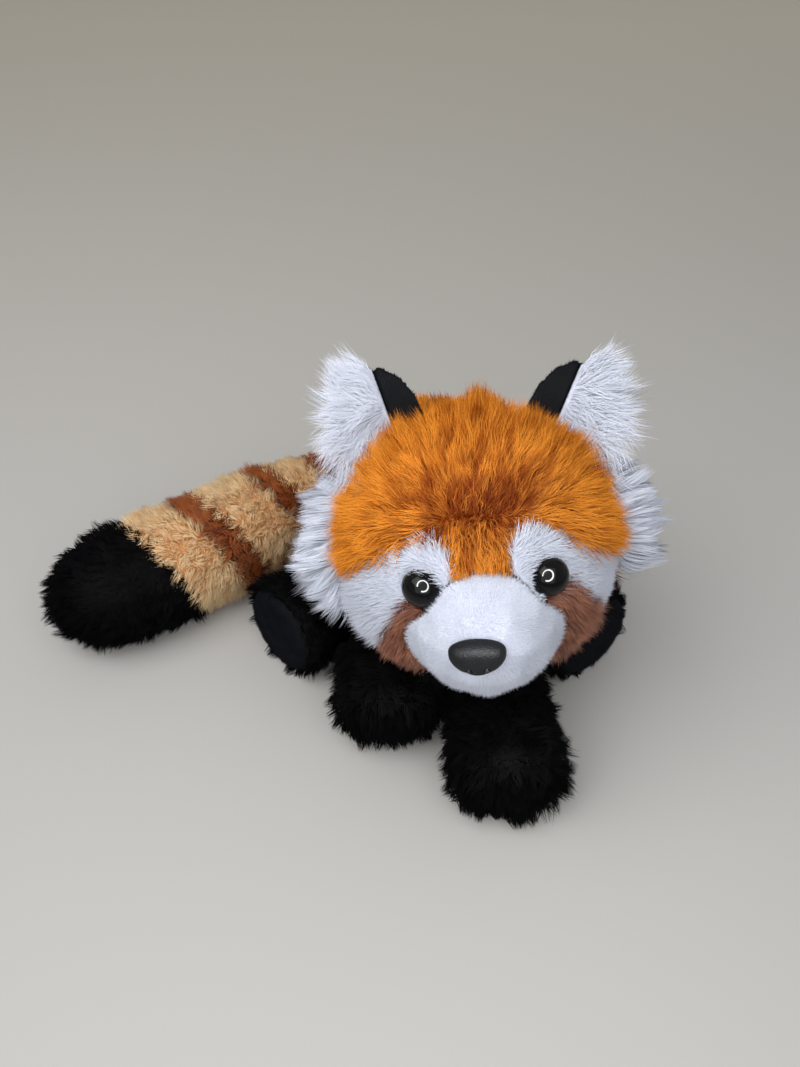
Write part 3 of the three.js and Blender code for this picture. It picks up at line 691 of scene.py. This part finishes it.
def on_head(azimuth, elevation, reach=HEAD_RADIUS):
    """A point on the head, from its azimuth and elevation in degrees."""
    return HEAD_CENTRE + HEAD_TURN @ face_way(azimuth, elevation) * reach


def away_from(point, pull=(0, 0, 0), share=1):
    """A groom that runs away from a point, with a share of a steady pull added to it."""
    pull = np.array(pull) * share
    return lambda places, normals: unit(places - point) + pull


def outside_of(centre, limit=0.25, squeeze=np.ones(3)):
    """A test for faces that look away from a centre."""
    return lambda places, normals: (unit((places - centre) / squeeze) * normals).sum(1) > limit


def facing(way, limit):
    """A test for faces that look along a direction."""
    return lambda places, normals: normals @ way > limit


@cache
def finishes():
    """The materials of covers and pile, made once and shared."""
    colours = bpy.context.scene.plush_colours
    made = {}
    for name, (root, sheen, gloss) in PILE_FINISHES.items():
        deep = tuple(getattr(colours, f"{name}_deep"))
        light = tuple(getattr(colours, f"{name}_light"))
        made["pile", name] = pile_finish(f"{name}_pile", deep, light, root, sheen, gloss)
        # Painted shade: each backing is a tenth darker than its pile's deep strands, as the shade under the
        # pile
        made["cloth", name] = cloth_finish(f"{name}_backing", scaled(deep, 0.9), 0.5 * MM, 0.8, 0.0)
    made["cloth", "wadding"] = cloth_finish("white_wadding", tone(238, 236, 228), 1.2 * MM, 0.9, 0.2)
    made["cloth", "sacking"] = cloth_finish("pellet_cloth", tone(214, 204, 182), 0.6 * MM, 0.85, 0.1)
    return made


def tufted(side):
    """The short plush of a cheek grows long at the top of its brow, and at the left jowl."""
    tufts = [(on_head(*BROWS[side]), *BROW_TUFT)]
    if side == "left":
        tufts.append((on_head(*JOWL), *JOWL_TUFT))
    return lambda places: 1 + sum(
        gain * nearness(far_from(places, spot), reach) for spot, reach, gain in tufts
    )


class PLUSH_OT_head(bpy.types.Operator):
    """Sews the head's panels and grows their pile"""

    bl_idname = "plush.head"
    bl_label = "Head"

    def execute(self, context):
        sizes = context.scene.plush_sizes
        self.covers = {}
        self.sew_panels()
        self.to_muzzle = distance_to(self.covers["muzzle"].piece)
        self.grow_face(sizes)
        self.grow_crown(sizes)
        return {"FINISHED"}

    def sew_panels(self):
        """The covers of all the panels, by name."""
        looks = {
            "crown_panel": "orange", "nape_panel": "orange", "throat_panel": "black", "muzzle_panel": "white",
        }
        for side in SIDES:
            looks[f"cheek_panel_{side}"] = "white"
            looks[f"tear_panel_{side}"] = "brown"
        threads = {"muzzle": 0.9 * MM, "nape": 1.6 * MM, "throat": 1.6 * MM}
        for node, look in looks.items():
            name = node.replace("_panel", "")
            slot = "white_plush" if look == "white" else f"{look}_pile"
            self.covers[name] = sew_cover(name, node, "head", slot, look, threads.get(name, 1.2 * MM))

    def dress(self, name, pile, groom, seed):
        """The pile of one whole panel."""
        grow_pile(self.covers[name], pile, groom, outside_of(HEAD_CENTRE), seed)

    def grow_face(self, sizes):
        """Short plush on the muzzle and the cheeks, longer pile on the throat and the tear strips."""
        nose = on_head(*NOSE_PLACE, NOSE_REACH)
        muzzle = Pile(sizes.muzzle, 5.5e6, width=0.3 * MM, tilt=(14, 40), steps=1, stray=24, streak=0.1)
        self.dress("muzzle", muzzle, away_from(nose), 13)
        throat = Pile(sizes.leg, 1.1e6, tilt=(25, 55), clump=(9, 0.5), wave=(0.3, 0.9), droop=0.2)
        self.dress("throat", throat, away_from(nose, (0, 0.4, -1), 0.6), 14)
        for side, sign in SIDES.items():
            cheek = Pile(
                sizes.cheek, 4.2e6, width=0.3 * MM, tilt=(16, 48), clump=(6, 0.25), stray=18, streak=0.1,
                trim=tufted(side),
            )
            self.dress(f"cheek_{side}", cheek, away_from(nose, (0, 0, -1), 0.15), 20 + sign)
            tear = Pile(
                sizes.tear, 4.5e6, width=0.28 * MM, tilt=(26, 62), clump=(8, 0.4), streak=0.25, tuft=0.18,
                trim=lambda places: np.clip(regrown(self.to_muzzle(places), *TEAR_BY_MUZZLE), 0, 1),
            )
            eye = on_head(*EYE_PLACES[side])
            self.dress(f"tear_{side}", tear, away_from(eye, (sign * 0.35, 0, -1), 2.0), 30 + sign)

    def grow_crown(self, sizes):
        """The crown's pile parts along a line above the brows, painted dark as shade where the fur parts over
        a rustier tone, and is short by the white of the face.
        """
        start, end = (on_head(*place) for place in PARTING)
        middle, up = HEAD_TURN[:, 0], HEAD_TURN[:, 2]
        brows = [on_head(*place) for place in BROWS.values()]
        beside = [f"ear_{side}_{part}" for side in SIDES for part in ("fur", "lining")]
        beside += [f"cheek_ruff_{side}" for side in SIDES]
        to_ears = distance_to(*(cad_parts[node] for node in beside))
        outer = outside_of(HEAD_CENTRE)

        def from_parting(places):
            share = np.clip((places - start) @ (end - start) / ((end - start) @ (end - start)), 0, 1)
            return places - start - share[:, None] * (end - start)

        def combed(places, normals):
            away = from_parting(places)
            far = np.linalg.norm(away, axis=1)
            above = rising(far, *COMB_ABOVE) * rising(to_ears(places), *COMB_BY_EARS)
            below = rising(far, *COMB_BELOW)
            return unit(away) * np.where(away @ up > 0, above, below)[:, None]

        def trimmed(places):
            by_muzzle = regrown(self.to_muzzle(places), *CROWN_BY_MUZZLE)
            by_brows = regrown(far_from(places, *brows), *CROWN_BY_BROWS)
            by_ears = regrown(to_ears(places), *CROWN_BY_EARS)
            return np.minimum(np.clip(np.minimum(by_muzzle, by_brows), *CROWN_LIMITS), by_ears)

        def rust_and_parting_shade(places):
            away = from_parting(places)
            above = away @ up > 0
            # Painted shade: a dark band along the parting stands for the shade where the fur parts, over a
            # rustier tone
            band = nearness(np.linalg.norm(away, axis=1), np.where(above, *SHADE_AND_RUST_REACH))
            ridge = nearness((places - HEAD_CENTRE) @ middle, RIDGE_REACH) * above
            return np.where(above, *CROWN_LIGHT) - PARTING_SHADE_AND_RUST * band - RIDGE_RUST * ridge

        crown = Pile(
            sizes.crown, 5.6e6, width=0.25 * MM, tilt=(20, 82), clump=(9, 0.25), wave=(0.22, 0.8), stray=18,
            streak=0.4, tuft=0.26, spread=0.16, trim=trimmed, tint=rust_and_parting_shade,
        )
        for side, sign in SIDES.items():
            def half(places, normals, sign=sign):
                return outer(places, normals) & (sign * (places - HEAD_CENTRE) @ middle > 0)

            part = replace(self.covers["crown"], name=f"crown_{side}")
            grow_pile(part, crown, combed, half, 10 + sign)
        nape = Pile(sizes.crown, 1.2e6, tilt=(28, 62), clump=(9, 0.4), wave=(0.14, 0.8), droop=0.2, tuft=0.18)
        self.dress("nape", nape, away_from(start, (0, 0, -1), 0.4), 12)


def push_in(piece, node):
    """Puts a piece in the place of its CAD node."""
    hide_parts(node)
    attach(piece, "head")


def gloss_finish():
    """Black glossy plastic, a little uneven."""
    finish = Finish("eye_gloss", Specular_IOR_Level=0.2)
    cloud = finish.noise(260.0, 2.0)
    finish.feed("Base Color", finish.ramp(cloud, (0.3, tone(3, 3, 4)), (0.8, tone(9, 9, 10))))
    finish.feed("Roughness", 0.03 + cloud * 0.04)
    return finish.material


def seat_of(place, node):
    """The frame of a pushed-in piece: its third axis points out of the head and starts at its front."""
    out = HEAD_TURN @ face_way(*place)
    side = unit(np.cross(HEAD_TURN @ np.array((0, 0, 1)), out))
    up = np.cross(out, side)
    points = points_of(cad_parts[node].data)
    front = HEAD_CENTRE + out * ((points - HEAD_CENTRE) @ out).max()
    seat = Matrix.Identity(4)
    for row in range(3):
        seat[row] = (side[row], up[row], out[row], front[row])
    return seat


def satin_finish():
    """Black satin plastic with a pebbled grain."""
    finish = Finish("nose_satin", Specular_IOR_Level=0.16)
    sockets = {"Vector": finish.place(), "Scale": 2200.0, "Randomness": 1.0}
    grain = finish.node("ShaderNodeTexVoronoi", {"feature": "F1"}, sockets)
    cloud = finish.noise(500.0, 3.0)
    finish.feed("Base Color", finish.ramp(cloud, (0.2, tone(6, 7, 9)), (0.8, tone(16, 18, 22))))
    finish.feed("Roughness", 0.4 + grain * 0.2)
    finish.bump(1 - grain, 0.6, 0.2 * MM)
    return finish.material


class PLUSH_OT_face(bpy.types.Operator):
    """Makes the eyes and the nose"""

    bl_idname = "plush.face"
    bl_label = "Eyes and nose"

    def execute(self, context):
        gloss = gloss_finish()
        for side, place in EYE_PLACES.items():
            node = f"eye_{side}"
            push_in(self.make_eye(f"{node}_cap", seat_of(place, node), gloss), node)
        push_in(self.make_nose(), "nose")
        plastic = cloth_finish("washer_plastic", tone(215, 215, 212), 0.8 * MM, 0.5, 0.0)
        for washer in ("eye_washer_left", "eye_washer_right", "nose_washer"):
            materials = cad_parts[washer].data.materials
            materials.clear()
            materials.append(plastic)
        return {"FINISHED"}

    @staticmethod
    def make_eye(name, seat, material):
        """A dome on a rim and a stem, turned about its axis, in millimetres. Its top is at the origin."""
        radius, rise, rim = 5.9, 5.2, 0.8
        stem, stem_corner, stem_end = 1.7, -18.6, -19
        line = [(0, stem_end), (stem, stem_corner), (stem, -rise - rim), (radius - rim, -rise - rim)]
        steps = 12
        for step in range(steps + 1):
            angle = math.pi / 2 * step / steps
            line.append((radius * math.cos(angle), -rise + rise * math.sin(angle)))
        form = bmesh.new()
        corners = [form.verts.new((across * MM, 0, up * MM)) for across, up in line]
        edges = [form.edges.new(pair) for pair in zip(corners, corners[1:])]
        bmesh.ops.spin(
            form, geom=corners + edges, cent=(0, 0, 0), axis=(0, 0, 1), angle=2 * math.pi, steps=48,
            use_merge=True,
        )
        bmesh.ops.remove_doubles(form, verts=form.verts, dist=0.005 * MM)
        bmesh.ops.recalc_face_normals(form, faces=form.faces)
        bmesh.ops.transform(form, matrix=seat, verts=form.verts)
        eye = finished(form, name)
        eye.data.materials.append(material)
        return eye

    def make_nose(self):
        """A wide rounded shield with two nostrils near its lower edge."""
        half_width, shoulder, top, bottom, depth = 8.1 * MM, 1.0 * MM, 4.2 * MM, 7.2 * MM, 4.4 * MM
        nostril, nostril_size, nostril_depth = Vector((2.5 * MM, -3.3 * MM)), 1.0 * MM, 2.4 * MM
        form = bmesh.new()
        bmesh.ops.create_uvsphere(form, u_segments=64, v_segments=48, radius=1)
        for corner in form.verts:
            x, y, z = corner.co
            tall = top * y ** 0.75 if y > 0 else -bottom * abs(y) ** 0.92
            rise = (1 - math.hypot(x, y) ** 3) ** 0.45 if z > 0 else 0.6 * z
            narrow = 1 - 0.22 * y * y if y < 0 else 1
            corner.co = Vector((x * half_width * narrow, shoulder + tall, rise * depth))
            for sign in SIDES.values():
                spot = (corner.co.xy - Vector((sign * nostril.x, nostril.y))) / nostril_size
                if z > 0:
                    corner.co.z -= nostril_depth * math.exp(-spot.length_squared)
        seat = seat_of(NOSE_PLACE, "nose")
        bmesh.ops.transform(form, matrix=seat @ Matrix.Translation((0, 0, -depth)), verts=form.verts)
        nose = finished(form, "nose_shield")
        nose.data.materials.append(satin_finish())
        return nose


def fan(root, tall, outward):
    """A groom that runs out from the lining's edge, upwards near the ear's tip and level at its root."""
    def groom(places, normals):
        height = (places - root) @ tall / FAN_HEIGHT - FAN_LEVEL
        return FAN_OUT * outward + FAN_UP * height[:, None] * tall

    return groom


def front_fur(front, outward, tall):
    """A test for the front and outer rim of an ear, without its tip and the edge along its lining."""
    return lambda places, normals: (
        (normals @ front > -0.3) & (normals @ outward > -0.25) & (normals @ tall < 0.7)
    )


def full_at_root(root, tall, to_lining):
    """The ear's pile is longer near its root, where it hangs over the ruff, and short by the lining."""
    def trim(places):
        longer = 1 + EAR_ROOT_GAIN * np.clip(1 - (places - root) @ tall / EAR_ROOT_HEIGHT, 0, 1)
        return longer * rising(to_lining(places), *EAR_BY_LINING)

    return trim


def short_at_top(ruff, up):
    """The ruff's pile is shorter at its top, where it runs into the ear."""
    middle = points_of(ruff.data).mean(0)
    return lambda places: 1 - RUFF_TOP_LOSS * rising((places - middle) @ up, RUFF_TOP_HEIGHT)


def flare(lean, fall):
    """A groom that gathers a ruff into a flat fringe along the ear seam."""
    def groom(places, normals):
        spoke = places - HEAD_CENTRE
        spoke = spoke - (spoke @ lean)[:, None] * lean
        return unit(spoke) - np.array((0, 0, fall))

    return groom


class PLUSH_OT_ears(bpy.types.Operator):
    """Sews the ears and the cheek ruffs and grows their pile"""

    bl_idname = "plush.ears"
    bl_label = "Ears and ruffs"

    def execute(self, context):
        sizes = context.scene.plush_sizes
        self.lean = HEAD_TURN @ np.array((0, math.cos(EAR_SEAM_TILT), -math.sin(EAR_SEAM_TILT)))
        self.rise = np.array((0, math.sin(EAR_SEAM_TILT), math.cos(EAR_SEAM_TILT)))
        for side, sign in SIDES.items():
            self.make_ear(sizes, side, sign)
            self.make_ruff(sizes, side, sign)
        return {"FINISHED"}

    def make_ear(self, sizes, side, sign):
        """An ear's three layers, with long pile on its outer front and a nap on the others."""
        across = np.array((sign, 0, 0))
        place, splay = np.radians(EARS[side])
        tall = HEAD_TURN @ (self.rise * math.cos(splay) + across * math.sin(splay))
        spoke = HEAD_TURN @ (self.rise * math.cos(place) + across * math.sin(place))
        root = HEAD_CENTRE + spoke * HEAD_RADIUS
        outward = HEAD_TURN @ across
        outward = unit(outward - (outward @ tall) * tall)
        ear = f"ear_{side}"
        layers = {"fur": ("white", "white_pile")}
        layers["lining"] = layers["back"] = ("velour", "black_velour")
        covers = {}
        for part, (look, slot) in layers.items():
            name = f"{ear}_{part}"
            covers[part] = sew_cover(name, name, ear, slot, look, 0.7 * MM, 4)
        long = Pile(
            sizes.ear, 8e6, width=0.25 * MM, tilt=(26, 70), clump=(20, 0.5), wave=(0.26, 0.8), stray=20,
            streak=0.2, trim=full_at_root(root, tall, distance_to(covers["lining"].piece)),
        )
        front = front_fur(-self.lean, outward, tall)
        grow_pile(covers["fur"], long, fan(root, tall, outward), front, 41 + sign)
        nap = Pile(sizes.velour, 4.5e6, width=0.3 * MM, tilt=(25, 50), steps=1, stray=25)
        for part, way in (("lining", -self.lean), ("back", self.lean)):
            grow_pile(covers[part], nap, away_from(root), facing(way, -0.2), 51 + sign, "nap")

    def make_ruff(self, sizes, side, sign):
        """A cheek ruff, its long pile gathered into a fringe."""
        name = f"cheek_ruff_{side}"
        ruff = sew_cover(name, name, "head", "white_pile", "white", 0.9 * MM, 4)
        long = Pile(
            sizes.ruff, 6e6, width=0.27 * MM, tilt=(10, 62), steps=3, clump=(34, 0.66), wave=(0.14, 0.7),
            stray=14, streak=0.2, trim=short_at_top(ruff.piece, HEAD_TURN @ self.rise),
        )
        fringe = flare(self.lean, RUFF_FALL[side])
        grow_pile(ruff, long, fringe, outside_of(HEAD_CENTRE, 0.0), 61 + sign)


def by_tail(places):
    """From 0 to 1, how near places lie to the groove that the tail turns out of."""
    return nearness(far_from(places, *TAIL_ROUTE[:3]), TAIL_GROOVE)


class PLUSH_OT_body(bpy.types.Operator):
    """Sews the body and the neck and grows their pile"""

    bl_idname = "plush.body"
    bl_label = "Body and neck"

    def execute(self, context):
        sizes = context.scene.plush_sizes
        outer = outside_of(BODY_CENTRE, 0.2, BODY_RADII / BODY_RADII.max())

        def outside(places, normals):
            return outer(places, normals) | (by_tail(places) > 0.3)

        back = Pile(
            sizes.body, 1.1e6, width=0.5 * MM, tilt=(28, 62), clump=(9, 0.4), wave=(0.14, 0.8),
            trim=lambda places: 1 + by_tail(places),
        )
        backward = away_from(NECK_CENTRE, (0, 0.5, -0.4))
        for side, sign in SIDES.items():
            cover = sew_cover(
                f"back_{side}", f"back_panel_{side}", "torso", "orange_pile", "orange", 1.5 * MM, 3, 0.6 * MM
            )
            grow_pile(cover, back, backward, outside, 71 + sign)
        belly = sew_cover("belly", "belly_panel", "torso", "black_pile", "black", 1.8 * MM, 3)
        shaggy = Pile(sizes.leg, 0.8e6, width=0.6 * MM, tilt=(28, 58), steps=1, clump=(9, 0.5))
        grow_pile(belly, shaggy, backward, outside, 75)
        neck = sew_cover("neck", "neck_filling", "neck", "filling", "orange", 1.5 * MM)
        collar = Pile(sizes.body, 0.8e6, width=0.5 * MM, tilt=(25, 60), clump=(9, 0.4))
        neck = replace(neck, slot="orange_pile")
        grow_pile(neck, collar, backward, outside_of(NECK_CENTRE, 0.2), 77)
        return {"FINISHED"}


def groom_along(along):
    """A groom towards the paw and a little down."""
    return lambda places, normals: np.broadcast_to(along + np.array((0, 0, -0.35)), places.shape)


def beyond_root(start, along):
    """A test for the outer faces past the root, which stays bare inside the body."""
    def test(places, normals):
        height = (places - start) @ along
        spoke = unit(places - start - height[:, None] * along)
        return (height > 2 * MM) & ((spoke * normals).sum(1) > 0.3)

    return test


class PLUSH_OT_legs(bpy.types.Operator):
    """Sews the legs and their soles and grows their pile"""

    bl_idname = "plush.legs"
    bl_label = "Legs"

    def execute(self, context):
        sizes = context.scene.plush_sizes
        nap = Pile(sizes.velour, 4e6, width=0.3 * MM, tilt=(25, 50), steps=1, stray=25)
        for order, (name, (root, sole)) in enumerate(LEGS.items()):
            start = np.array(root) * MM
            along = unit(np.array(sole) * MM - start)
            fore = name.startswith("fore")
            cover = sew_cover(name, f"{name}_cover", name, "black_pile", "black", soften=1)
            shaggy = Pile(
                sizes.leg if fore else sizes.thigh, 1.9e6, width=0.46 * MM, tilt=(16, 52), clump=(22, 0.7),
                wave=(0.45, 0.9), stray=28, spread=0.28, shade=-0.05,
            )
            grow_pile(cover, shaggy, groom_along(along), beyond_root(start, along), 81 + order)
            look = "black" if fore else "velour"
            node = f"{name}_sole"
            cover = sew_cover(node, node, name, "black_velour", look, 0.8 * MM, 0)
            pile = replace(shaggy, length=sizes.paw) if fore else nap
            down = away_from(start, (0, 0, -1), 0.4)
            grow_pile(cover, pile, down, facing(along, -0.3), 91 + order, "nap")
        return {"FINISHED"}


def route_frame(places):
    """For each place, the nearest point of the tail's middle line, the way along it and its number."""
    shares = np.linspace(0, 1, ROUTE_STEPS, endpoint=False)[:, None]
    line = np.concatenate([
        start + (end - start) * shares for start, end in zip(TAIL_ROUTE, TAIL_ROUTE[1:])
    ])
    ways = unit(np.gradient(line, axis=0))
    index = nearest(places, line)
    return line[index], ways[index], index


def along_route(places, normals):
    """A groom towards the tip and a little down."""
    return route_frame(places)[1] + np.array((0, 0, -0.1))


def outside_route(places, normals):
    """A test for the outer faces past the root."""
    middle, _, index = route_frame(places)
    return ((unit(places - middle) * normals).sum(1) > 0.2) & (index > BARE_STEPS)


class PLUSH_OT_tail(bpy.types.Operator):
    """Sews the tail's bands and tip and grows their pile"""

    bl_idname = "plush.tail"
    bl_label = "Tail"

    def execute(self, context):
        sizes = context.scene.plush_sizes
        wavy = Pile(
            sizes.tail, 2.8e6, width=0.36 * MM, tilt=(12, 46), clump=(24, 0.5), wave=(0.4, 0.7), stray=20,
            streak=0.2, shade=0.22,
        )
        seed = 101
        for colour, look, count in (("tan", "tan", 4), ("brown", "stripe", 3)):
            for band in range(1, count + 1):
                self.dress(f"tail_{colour}_{band}", look, wavy, seed)
                seed += 1
        shaggy = Pile(
            sizes.tail, 1.8e6, width=0.48 * MM, tilt=(14, 46), clump=(20, 0.65), wave=(0.45, 0.9), stray=28,
            spread=0.28, shade=-0.05,
        )
        self.dress("tail_tip", "black", shaggy, 121)
        return {"FINISHED"}

    def dress(self, name, look, pile, seed):
        """The cover and the pile of one band."""
        cover = sew_cover(name, name, "tail", f"{look}_pile", look, 1.5 * MM)
        grow_pile(cover, pile, along_route, outside_route, seed)


class PLUSH_OT_filling(bpy.types.Operator):
    """Packs the wadding and the pellet bag that the covers hold"""

    bl_idname = "plush.filling"
    bl_label = "Filling"

    def execute(self, context):
        wads = {"head_filling": "head", "body_filling": "torso", "tail_filling": "tail"}
        for leg in LEGS:
            wads[f"{leg}_filling"] = leg
        for node, body in wads.items():
            sew_cover(node, node, body, "filling", "wadding", 3 * MM, swell=-3 * MM, ending="wad")
        sew_cover("pellet_bag", "pellet_bag", "torso", "pellet_cloth", "sacking", 2 * MM, 4)
        return {"FINISHED"}


class PLUSH_OT_studio(bpy.types.Operator):
    """Sets the floor, the light and the camera"""

    bl_idname = "plush.studio"
    bl_label = "Studio"

    def execute(self, context):
        studio = context.scene.plush_studio
        context.scene.view_settings.view_transform = "Standard"
        self.lay_floor(studio)
        self.set_light(context.scene, studio)
        self.hang_ring(studio)
        lens = bpy.data.cameras.new("camera")
        lens.lens = studio.camera_lens
        lens.sensor_width = 36
        camera = link(bpy.data.objects.new("camera", lens))
        camera.location = studio.camera_place
        camera.rotation_euler = (math.pi / 2 - studio.camera_dip, 0, 0)
        context.scene.camera = camera
        return {"FINISHED"}

    @staticmethod
    def lay_floor(studio):
        """A round floor, painted lighter and warmer towards its back as light and shade."""
        form = bmesh.new()
        bmesh.ops.create_circle(form, cap_ends=True, segments=96, radius=FLOOR_RADIUS)
        floor = finished(form, "floor")
        finish = Finish("floor_paper", Specular_IOR_Level=0.15, Roughness=0.9)
        back = finish.node("ShaderNodeSeparateXYZ", None, {0: finish.place()}, 1)
        near, far = tuple(studio.floor_near_painted_shade), tuple(studio.floor_far_painted_light)
        uneven = back + finish.noise(5.0, 2.0) * 0.06
        # Painted light and shade: the colour runs from the darker front to the lighter, warmer back
        finish.feed("Base Color", finish.ramp(uneven, (0, near), (1, far)))
        floor.data.materials.append(finish.material)

    @staticmethod
    def set_light(scene, studio):
        """Light from all round, a large soft lamp and a weaker one at the camera."""
        world = bpy.data.worlds.new("room")
        scene.world = world
        world.use_nodes = True
        room = world.node_tree.nodes["Background"]
        room.inputs["Color"].default_value = (*studio.room_colour, 1)
        room.inputs["Strength"].default_value = studio.room_level
        lamps = (
            ("key", studio.key_power, 0.7, KEY_PLACE, 1.0),
            ("front", studio.front_power, 0.4, Vector(studio.camera_place), 0.0),
        )
        for name, power, size, place, shine in lamps:
            lamp = bpy.data.lights.new(name, "AREA")
            lamp.energy = power
            lamp.size = size
            lamp.specular_factor = shine
            stand = link(bpy.data.objects.new(name, lamp))
            stand.location = place
            stand.rotation_euler = (LAMP_AIM - place).to_track_quat("-Z", "Y").to_euler()

    @staticmethod
    def hang_ring(studio):
        """An open ring round the camera, which only reflections show."""
        form = bmesh.new()
        start, end = RING_ENDS
        first = Vector((math.cos(start), math.sin(start), 0))
        ends = [form.verts.new(first * radius) for radius in RING_RADII]
        bmesh.ops.spin(
            form, geom=[*ends, form.edges.new(ends)], cent=(0, 0, 0), axis=(0, 0, 1), angle=end - start,
            steps=RING_STEPS,
        )
        turn = Matrix.Rotation(math.pi / 2 - studio.camera_dip, 4, "X")
        bmesh.ops.transform(form, matrix=Matrix.Translation(studio.camera_place) @ turn, verts=form.verts)
        ring = finished(form, "ring_lamp")
        glow = Finish("ring_glow", Emission_Color=(1, 1, 1, 1), Emission_Strength=RING_GLOW)
        ring.data.materials.append(glow.material)
        ring.visible_camera = False
        ring.visible_diffuse = False
        ring.visible_shadow = False


class PLUSH_PT_sidebar(bpy.types.Panel):
    """Lists the pieces of the toy"""

    bl_idname = "PLUSH_PT_sidebar"
    bl_label = "Plush red panda"
    bl_space_type = "VIEW_3D"
    bl_region_type = "UI"
    bl_category = "Plush"

    def draw(self, context):
        for operator in OPERATORS:
            self.layout.operator(operator.bl_idname)


OPERATORS = (
    PLUSH_OT_studio,
    PLUSH_OT_head,
    PLUSH_OT_face,
    PLUSH_OT_ears,
    PLUSH_OT_body,
    PLUSH_OT_legs,
    PLUSH_OT_tail,
    PLUSH_OT_filling,
)
GROUPS = {"plush_sizes": PlushPileSizes, "plush_colours": PlushColours, "plush_studio": PlushStudio}


def register():
    for made in (*GROUPS.values(), *OPERATORS, PLUSH_PT_sidebar):
        bpy.utils.register_class(made)
    for name, group in GROUPS.items():
        setattr(bpy.types.Scene, name, bpy.props.PointerProperty(type=group))


def unregister():
    for name in GROUPS:
        delattr(bpy.types.Scene, name)
    for made in (PLUSH_PT_sidebar, *reversed(OPERATORS), *GROUPS.values()):
        bpy.utils.unregister_class(made)


def main():
    register()
    for step in ("studio", "head", "face", "ears", "body", "legs", "tail", "filling"):
        getattr(bpy.ops.plush, step)()


if __name__ == "__main__":
    main()
